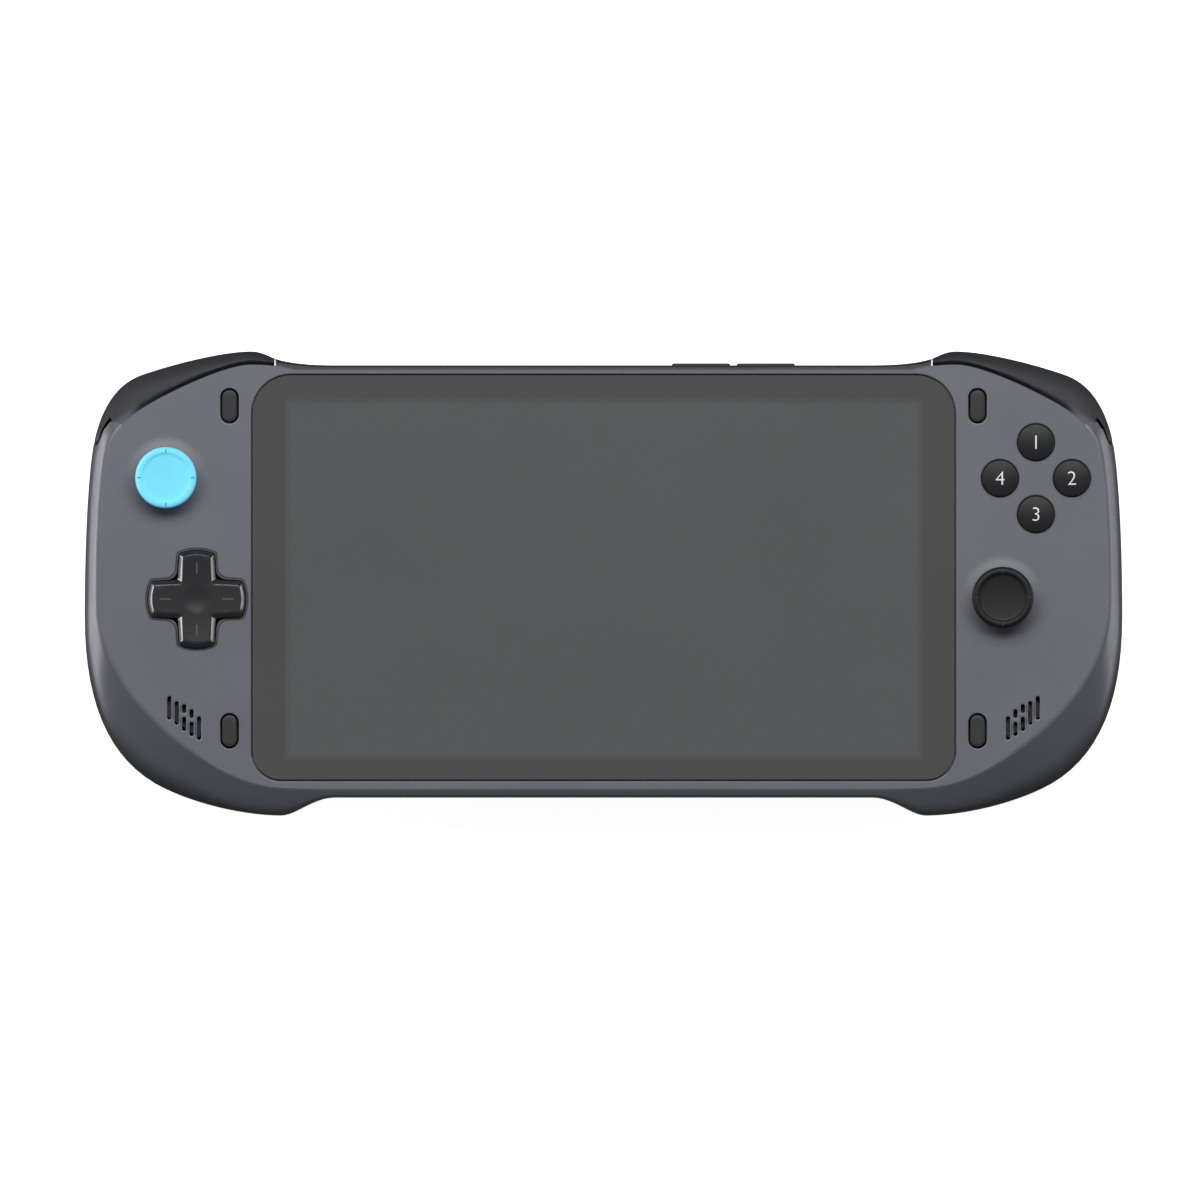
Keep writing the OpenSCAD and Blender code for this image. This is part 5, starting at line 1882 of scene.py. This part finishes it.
@dataclass
class ActionButtons:
    """Four domed buttons in a diamond, each with a printed numeral."""

    radius: float = 4.5
    foot_z: float = LAYOUT.foot_z
    top_z: float = 34.6
    dome_r: float = 22.0
    edge_round: Pairs = ((0.0, 0.34), (0.04, 0.18), (0.14, 0.06), (0.3, 0.0))
    numeral: float = 3.55
    letter_share: float = 0.72
    boldness: float = -0.06
    ink_half: float = 0.02
    ink_lift: float = 0.008
    ink_step: float = 0.4

    def dome(self, radius: np.ndarray) -> np.ndarray:
        """Height of the domed top at a distance from a button's middle."""
        return self.top_z - self.dome_r + np.sqrt(self.dome_r**2 - np.asarray(radius) ** 2)

    def button(self, name: str, middle: Pair) -> bpy.types.Object:
        """Make one button.

        Args:
            name: its place in the diamond.
            middle: its middle.

        Returns:
            The button.
        """
        edge = self.radius - self.edge_round[-1][0]
        rise = float(self.dome(edge))
        profile = [(0.0, self.foot_z), (self.radius, self.foot_z)]
        profile += [(self.radius - back, rise - drop) for back, drop in self.edge_round]
        profile += [(r, float(self.dome(r))) for r in np.linspace(edge - 0.4, 0.0, 8)]
        return Shape().spun(middle, profile, 64).make(f"domed_button_{name}", "button")

    def legend(self, name: str, text: str, middle: Pair) -> bpy.types.Object:
        """Make one numeral as thin ink that follows the dome.

        Args:
            name: the button's place in the diamond.
            text: the numeral.
            middle: the button's middle.

        Returns:
            The numeral.
        """
        curve = bpy.data.curves.new(f"numeral_{name}", "FONT")
        curve.body, curve.size = text, self.numeral * MM / self.letter_share
        curve.align_x, curve.align_y = "CENTER", "CENTER"
        curve.extrude, curve.offset, curve.resolution_u = self.ink_half * MM, self.boldness * MM, 6
        carrier = placed(f"numeral_{name}_curve", curve)
        mesh = plain_mesh(carrier)
        bpy.data.objects.remove(carrier)
        fine = bmesh.new()
        fine.from_mesh(mesh)
        bmesh.ops.remove_doubles(fine, verts=fine.verts, dist=0.001 * MM)
        for _ in range(4):
            bmesh.ops.triangulate(fine, faces=fine.faces)
            coarse = [e for e in fine.edges if e.calc_length() > self.ink_step * MM]
            bmesh.ops.subdivide_edges(fine, edges=coarse, cuts=1)
        bmesh.ops.triangulate(fine, faces=fine.faces)
        fine.to_mesh(mesh)
        fine.free()
        points = np.array([v.co for v in mesh.vertices]) / MM
        points[:, :2] -= (points[:, :2].min(0) + points[:, :2].max(0)) / 2
        points[:, 2] += self.dome(np.linalg.norm(points[:, :2], axis=1)) + self.ink_lift
        points[:, :2] += np.array(middle)
        mesh.vertices.foreach_set("co", (points * MM).ravel())
        mesh.update()
        return placed(f"numeral_{name}", mesh, "legend")

    def dress(self) -> None:
        """Build the buttons and numerals and put each on its body."""
        for number, (name, dx, dy) in enumerate(LAYOUT.action_ways, start=1):
            middle, body = LAYOUT.button_place(dx, dy), f"action_{name}"
            settle(self.button(name, middle), body, "button", body)
            settle(self.legend(name, str(number), middle), body, "button")


@dataclass
class PillKeys:
    """Four small pill-shaped keys beside the glass."""

    width: float = 3.65
    foot_z: float = LAYOUT.foot_z
    top_z: float = 33.5
    edge_round: Pairs = ((0.0, 0.3), (0.06, 0.14), (0.2, 0.06), (0.5, 0.02), (1.1, 0.0))

    def dress(self) -> None:
        """Build the keys and put each on its body."""
        profile = [(0.0, self.foot_z)] + [(-back, self.top_z - drop) for back, drop in self.edge_round]
        for row, y in zip(("upper", "lower"), LAYOUT.pill_ys):
            for side in Side:
                name = f"{row}_{side.word}_key"
                shape = post(LAYOUT.pill_plan(side, y, self.width), profile)
                settle(shape.make(f"pill_{row}_{side.word}", "key"), name, "key", name)


@dataclass
class Shoulder:
    """One shoulder: the bumper along the body's corner, the trigger behind it and the gap's strip."""

    side: Side
    low_z: float = 20.4
    top_z: float = 30.5
    tuck: float = 1.6
    edge: float = 0.5
    fullness: float = 2.2
    crease: float = 50.0
    groove: float = 1.4
    groove_run: float = 1.1
    groove_end: Pair = (2.7, 3.3)
    tip: Tuple[Tuple[float, ...], Tuple[float, ...]] = (
        (0.0, 0.6, 0.7, 0.78, 1.0), (3.64, 3.64, 3.79, 4.0, 4.0))
    shares: Tuple[float, ...] = (
        0.0, 0.04, 0.08, 0.12, 0.17, 0.24, 0.33, 0.42, 0.52, 0.6, 0.66, 0.72, 0.78, 0.84, 0.89, 0.93,
        0.96, 0.98, 0.993)
    steps: int = 54
    trigger_x: Pair = (88.5, 112.5)
    trigger_middle: Pair = (4.8, -2.45)
    trigger_ends: Pairs = ((0.0, 0.80), (0.12, 0.88), (0.4, 0.94), (0.9, 0.98), (1.6, 1.0))
    waist: float = 0.02
    corners: Tuple[Tuple[float, float, float], ...] = (
        (0, 0, 2.4), (4.6, 0.5, 2.3), (5, -5.4, 2.1), (2.9, -9, 1.5))
    gap_shares: Tuple[float, ...] = (0.02, 0.25, 0.5, 0.75, 0.9, 0.99)
    gap_size: Pair = (0.5, 0.9)
    gap_sink: float = 0.04

    def _places(self, share: float) -> np.ndarray:
        """Places along the corner's curves, up to the bumper's tip at a share."""
        return np.linspace(1.0, np.interp(share, *self.tip), self.steps)

    def _line(self, share: float, distance: float = 0.0) -> Loop:
        """The body's corner curves, moved inwards.

        Args:
            share: how far out from the face to the side, from 0 to 1.
            distance: how far inwards.

        Returns:
            The line's points.
        """
        line = OUTLINE.along(share, self._places(share))
        along = np.gradient(line, axis=0)
        along /= np.linalg.norm(along, axis=1)[:, None]
        line = line + distance * np.column_stack([along[:, 1], -along[:, 0]])
        return line * (self.side.value, 1)

    def bumper(self) -> bpy.types.Object:
        """Make the bumper as a section carried along the corner.

        Returns:
            The bumper.
        """
        rise = self.top_z - OUTLINE.PART_Z
        first, last = self.groove_end
        depth = self.groove * (1 - np.clip((self._places(0.0) - first) / (last - first), 0, 1))
        rows = [(0.0, self.tuck, self.top_z - depth - 0.4), (0.0, self.tuck - 0.4, self.top_z - depth)]
        for share in self.shares:
            crown = (1 - share**self.fullness) ** (1 / self.fullness)
            away = np.clip(share * OUTLINE.width(self._places(share))[0] / self.groove_run, 0, 1)
            groove = depth * (1 - away * away * (3 - 2 * away)) * crown
            rows.append((share, 0.0, OUTLINE.PART_Z + rise * crown - groove))
        rows += [(1.0, 0.0, z) for z in (25.4, 23.5, self.low_z + 1.0, self.low_z + self.edge)]
        rows += [(1.0, 0.15, self.low_z + 0.15), (1.0, self.edge, self.low_z), (0.0, self.tuck, self.low_z)]
        chains = [Shape.at(self._line(share, d), z) for share, d, z in rows]
        shape = Shape().band(chains + chains[:1], closed=False)
        for end in (0, -1):
            shape.polygon(np.array([chain[end] for chain in chains]))
        return shape.make(f"{self.side.word}_shoulder_key", "bumper", self.crease)

    def trigger_loop(self, count: int = 88) -> Loop:
        """Side view of the trigger about its hinge: two hulls round its corners' circles.

        Args:
            count: how many points it has.

        Returns:
            The loop, in Y and Z.
        """
        middle = np.array(self.trigger_middle)
        turn = np.arange(count) * 2 * math.pi / count
        ways = np.column_stack([np.cos(turn), np.sin(turn)])
        fine = np.radians(np.arange(0, 360, 3))
        normals = np.column_stack([np.cos(fine), np.sin(fine)])
        reach = np.zeros(count)
        for trio in (self.corners[:3], self.corners[1:]):
            cloud = np.vstack([np.array((y, z)) + r * normals for y, z, r in trio])
            support = (cloud @ normals.T).max(0) - normals @ middle
            for k, way in enumerate(ways):
                facing = normals @ way
                ahead = facing > 1e-6
                reach[k] = max(reach[k], (support[ahead] / facing[ahead]).min())
        return middle + reach[:, None] * ways

    def trigger(self) -> bpy.types.Object:
        """Make the trigger with rounded ends and a slightly waisted middle.

        Returns:
            The trigger.
        """
        loop = self.trigger_loop()
        middle = loop.mean(0)
        x0, x1 = self.trigger_x
        span = [(x0 + d, k) for d, k in self.trigger_ends]
        span += [(x, 1.0 - self.waist * math.sin(math.pi * (x - x0) / (x1 - x0)))
                 for x in np.linspace(x0 + 3, x1 - 3, 9)]
        span += [(x1 - d, k) for d, k in self.trigger_ends[::-1]]
        rows = []
        for x, k in span:
            plane = (loop - middle) * k + middle + np.array(LAYOUT.hinge)
            rows.append(np.column_stack([np.full(len(plane), self.side.value * x), plane]))
        return Shape().closed(rows).make(f"{self.side.word}_trigger_lever", "bumper")

    def gap(self) -> bpy.types.Object:
        """Make the pale strip in the gap between the top edge and the bumper.

        Returns:
            The strip.
        """
        rows, (back, depth) = [], self.gap_size
        for share in self.gap_shares:
            places = np.array([OUTLINE.ROOM_START + 0.003, 0.993])
            (xa, ya), (xb, yb) = OUTLINE.along(share, places) * (self.side.value, 1)
            z = float(OUTLINE.side_height(share, places).min()) - self.gap_sink
            rows.append(np.array([(xa, ya, z), (xb, yb, z),
                                  (xb, yb - back, z - depth), (xa, ya - back, z - depth)]))
        return Shape().closed(rows).make(f"{self.side.word}_gap_seal", "gap")

    def dress(self) -> None:
        """Build the shoulder's pieces and put each on its body."""
        word = self.side.word
        settle(self.bumper(), f"{word}_bumper", "bumper", f"{word}_bumper")
        settle(self.trigger(), f"{word}_trigger", "bumper", f"{word}_trigger")
        settle(self.gap(), Body.CHASSIS, "white_plastic")


@dataclass
class EdgeKeys:
    """Volume and power keys on the top edge."""

    spans: Tuple[Tuple[str, float, float], ...] = (
        ("volume_down", 16.8, 31.0), ("volume_up", 32.7, 46.9), ("power_key", -44.5, -35.5))
    half_t: float = 1.3
    back_y: float = 50.4
    corner_r: float = 0.6
    edge_round: Pairs = ((0.0, 0.35), (0.07, 0.16), (0.22, 0.05), (0.5, 0.0))

    def dress(self) -> None:
        """Build the keys and put each on its body."""
        z0, z1 = LAYOUT.edge_key_z - self.half_t, LAYOUT.edge_key_z + self.half_t
        for name, x0, x1 in self.spans:
            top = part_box(name)[1].y / MM
            plan = rect_plan((x0, z0), (x1, z1), self.corner_r, self.corner_r, 6)
            profile = [(0.0, self.back_y)] + [(-back, top - drop) for back, drop in self.edge_round]
            shape = post(plan, profile).turned(upright)
            settle(shape.make(f"edge_{name}", "key"), name, "key", name)


@dataclass
class CaseScrews:
    """Countersunk heads with a cross recess in the back."""

    low_z: float = 17.6
    head_r: float = 1.8
    head_h: float = 1.0
    head_lip: float = 0.25
    shank_r: float = 1.0
    length: float = 8.0
    dome: float = 0.08
    recess: Tuple[float, float, float, float, int] = (0.22, 1.0, 0.1, 0.08, 3)
    recess_foot: Pair = (0.6, 0.6)

    def face(self, points: Loop) -> np.ndarray:
        """Depth of the head's slightly domed face at points about its middle."""
        return self.dome * (np.linalg.norm(points, axis=1) / self.head_r) ** 2

    def template(self) -> Shape:
        """One screw about the origin, with its head down.

        Returns:
            The closed shape.
        """
        head = Shape()
        ring, lip = round_plan((0, 0), 0.0, 40), cross_plan((0, 0), *self.recess)(0.0)
        r, h, flat = self.head_r, self.head_h, self.head_r - self.head_lip
        head.fill(ring(flat), [lip], self.face)
        rows = [(flat, self.dome * (flat / r) ** 2), (r - 0.08, 0.12), (r, 0.3), (r, h),
                (self.shank_r, h), (self.shank_r, h + self.length - 0.5),
                (self.shank_r - 0.4, h + self.length)]
        head.band([Shape.at(ring(radius), z) for radius, z in rows])
        head.polygon(Shape.at(ring(rows[-1][0]), rows[-1][1]))
        foot = Shape.at(lip * self.recess_foot[0], self.recess_foot[1])
        return head.band([Shape.at(lip, self.face(lip)), foot]).polygon(foot)

    def dress(self) -> None:
        """Build the screws from one template and put them on the chassis."""
        places = [(x, y, self.low_z) for x, y in LAYOUT.screws]
        screws = REPEAT.spread("back_screws", places, self.template(), "dark_steel", start=20.0, turn=37.0)
        settle(screws, Body.CHASSIS, "dark_steel", "case_screws")


@dataclass
class Insides:
    """CAD nodes that keep their shape and take their record slot's finish."""

    slots: Dict[str, str] = field(default_factory=lambda: {
        "display_panel": "display", "midframe": "light_metal", "main_board": "board",
        "heat_spreader": "copper", "battery": "battery", "battery_lead": "wire",
        "display_ribbon": "ribbon", "left_ribbon": "ribbon", "right_ribbon": "ribbon",
        "port_board": "board", "usb_port": "steel", "headphone_jack": "black_plastic",
        "card_slot": "steel", "edge_key_board": "board", "left_control_board": "board",
        "right_control_board": "board", "left_speaker": "black_plastic",
        "right_speaker": "black_plastic", "left_stick_base": "black_plastic",
        "right_stick_base": "black_plastic", "left_stick_yoke": "white_plastic",
        "right_stick_yoke": "white_plastic", "left_stick_rocker": "white_plastic",
        "right_stick_rocker": "white_plastic", "left_stick_stem": "steel", "right_stick_stem": "steel",
        "dpad_bead": "white_plastic", "dpad_post": "black_plastic", "dpad_pad": "pad",
        "action_pad": "pad", "pill_pads": "pad", "left_bumper_bracket": "steel",
        "right_bumper_bracket": "steel", "left_trigger_pin": "steel", "right_trigger_pin": "steel",
        "board_screws": "dark_steel"})

    def dress(self) -> None:
        """Give each node its finish."""
        for node, slot in self.slots.items():
            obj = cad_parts[node]
            for place in obj.material_slots:
                place.material = FINISHES[slot]
            LOG.info("%s: CAD shape with the finish %s", node, slot)


@dataclass
class Studio:
    """Plain floor, soft light and the camera straight above the screen."""

    middle: Pair = (-0.86, -4.04)
    frame_width: float = 293.9
    lens: float = 1000.0
    sensor: float = 36.0
    floor_r: float = 2500.0
    floor_z: float = -0.02
    floor_colour: Colour = (0.9, 0.9, 0.9)
    surround: float = 0.10
    lamps: Tuple[Tuple[str, Point, Point, Pair, float], ...] = (
        ("key_panel", (0.0, 0.76, 1.62), (0.0, 0.0, 0.02), (1.95, 0.75), 30.2),
        ("left_panel", (-0.62, 0.05, 0.065), (0.0, 0.03, 0.03), (0.5, 0.12), 1.8),
        ("right_panel", (0.62, 0.05, 0.065), (0.0, 0.03, 0.03), (0.5, 0.12), 1.0))

    def floor(self) -> None:
        """Lay the pale floor."""
        ring = round_plan((0, 0), 0.0, 48)
        sheet = Shape().fill(ring(self.floor_r), [], self.floor_z)
        floor = placed("studio_floor", sheet.mesh("studio_floor"))
        floor.data.materials.append(Paper("white_paper", self.floor_colour, 1.0).make())
        floor.visible_diffuse = False
        floor.visible_glossy = False

    @staticmethod
    def panel(name: str, place: Point, aim: Point, size: Pair, watts: float) -> None:
        """Hang one soft light.

        Args:
            name: the light's name.
            place: where it hangs, in metres.
            aim: the point that it faces.
            size: its two sides, in metres.
            watts: its power.
        """
        light = bpy.data.lights.new(name, "AREA")
        light.shape, light.size, light.size_y, light.energy = "RECTANGLE", *size, watts
        lamp = bpy.data.objects.new(name, light)
        lamp.location = place
        lamp.rotation_euler = (Vector(aim) - Vector(place)).to_track_quat("-Z", "Y").to_euler()
        bpy.context.scene.collection.objects.link(lamp)

    def lights(self) -> None:
        """Hang the lights and set the even surround."""
        for lamp in self.lamps:
            self.panel(*lamp)
        world = bpy.data.worlds.new("even_surround")
        world.use_nodes = True
        back = world.node_tree.nodes["Background"]
        back.inputs["Color"].default_value = (1.0, 1.0, 1.0, 1.0)
        back.inputs["Strength"].default_value = self.surround
        bpy.context.scene.world = world
        bpy.context.scene.view_settings.view_transform = "Standard"

    def camera(self) -> None:
        """Hang the camera above the face."""
        lens = bpy.data.cameras.new("overhead")
        lens.lens, lens.sensor_width = self.lens, self.sensor
        eye = bpy.data.objects.new("overhead", lens)
        away = self.frame_width * self.lens / self.sensor
        eye.location = (self.middle[0] * MM, self.middle[1] * MM, (LAYOUT.face_z + away) * MM)
        bpy.context.scene.collection.objects.link(eye)
        bpy.context.scene.camera = eye

    def dress(self) -> None:
        """Set up the whole studio."""
        self.camera()
        self.floor()
        self.lights()


def main() -> None:
    """Build every piece in order."""
    logging.basicConfig(level=logging.INFO, format="%(name)s %(message)s")
    parts = [
        Studio(), FrontShell(), RearShell(),
        ThumbStick(Side.LEFT, LAYOUT.sticks[0], "blue_cap", "mark"),
        ThumbStick(Side.RIGHT, LAYOUT.sticks[1], "black_cap", "dim_mark"),
        DirectionPad(), ActionButtons(), PillKeys(), Shoulder(Side.LEFT), Shoulder(Side.RIGHT),
        EdgeKeys(), CaseScrews(), Insides(),
    ]
    for part in parts:
        part.dress()


if __name__ == "__main__":
    main()
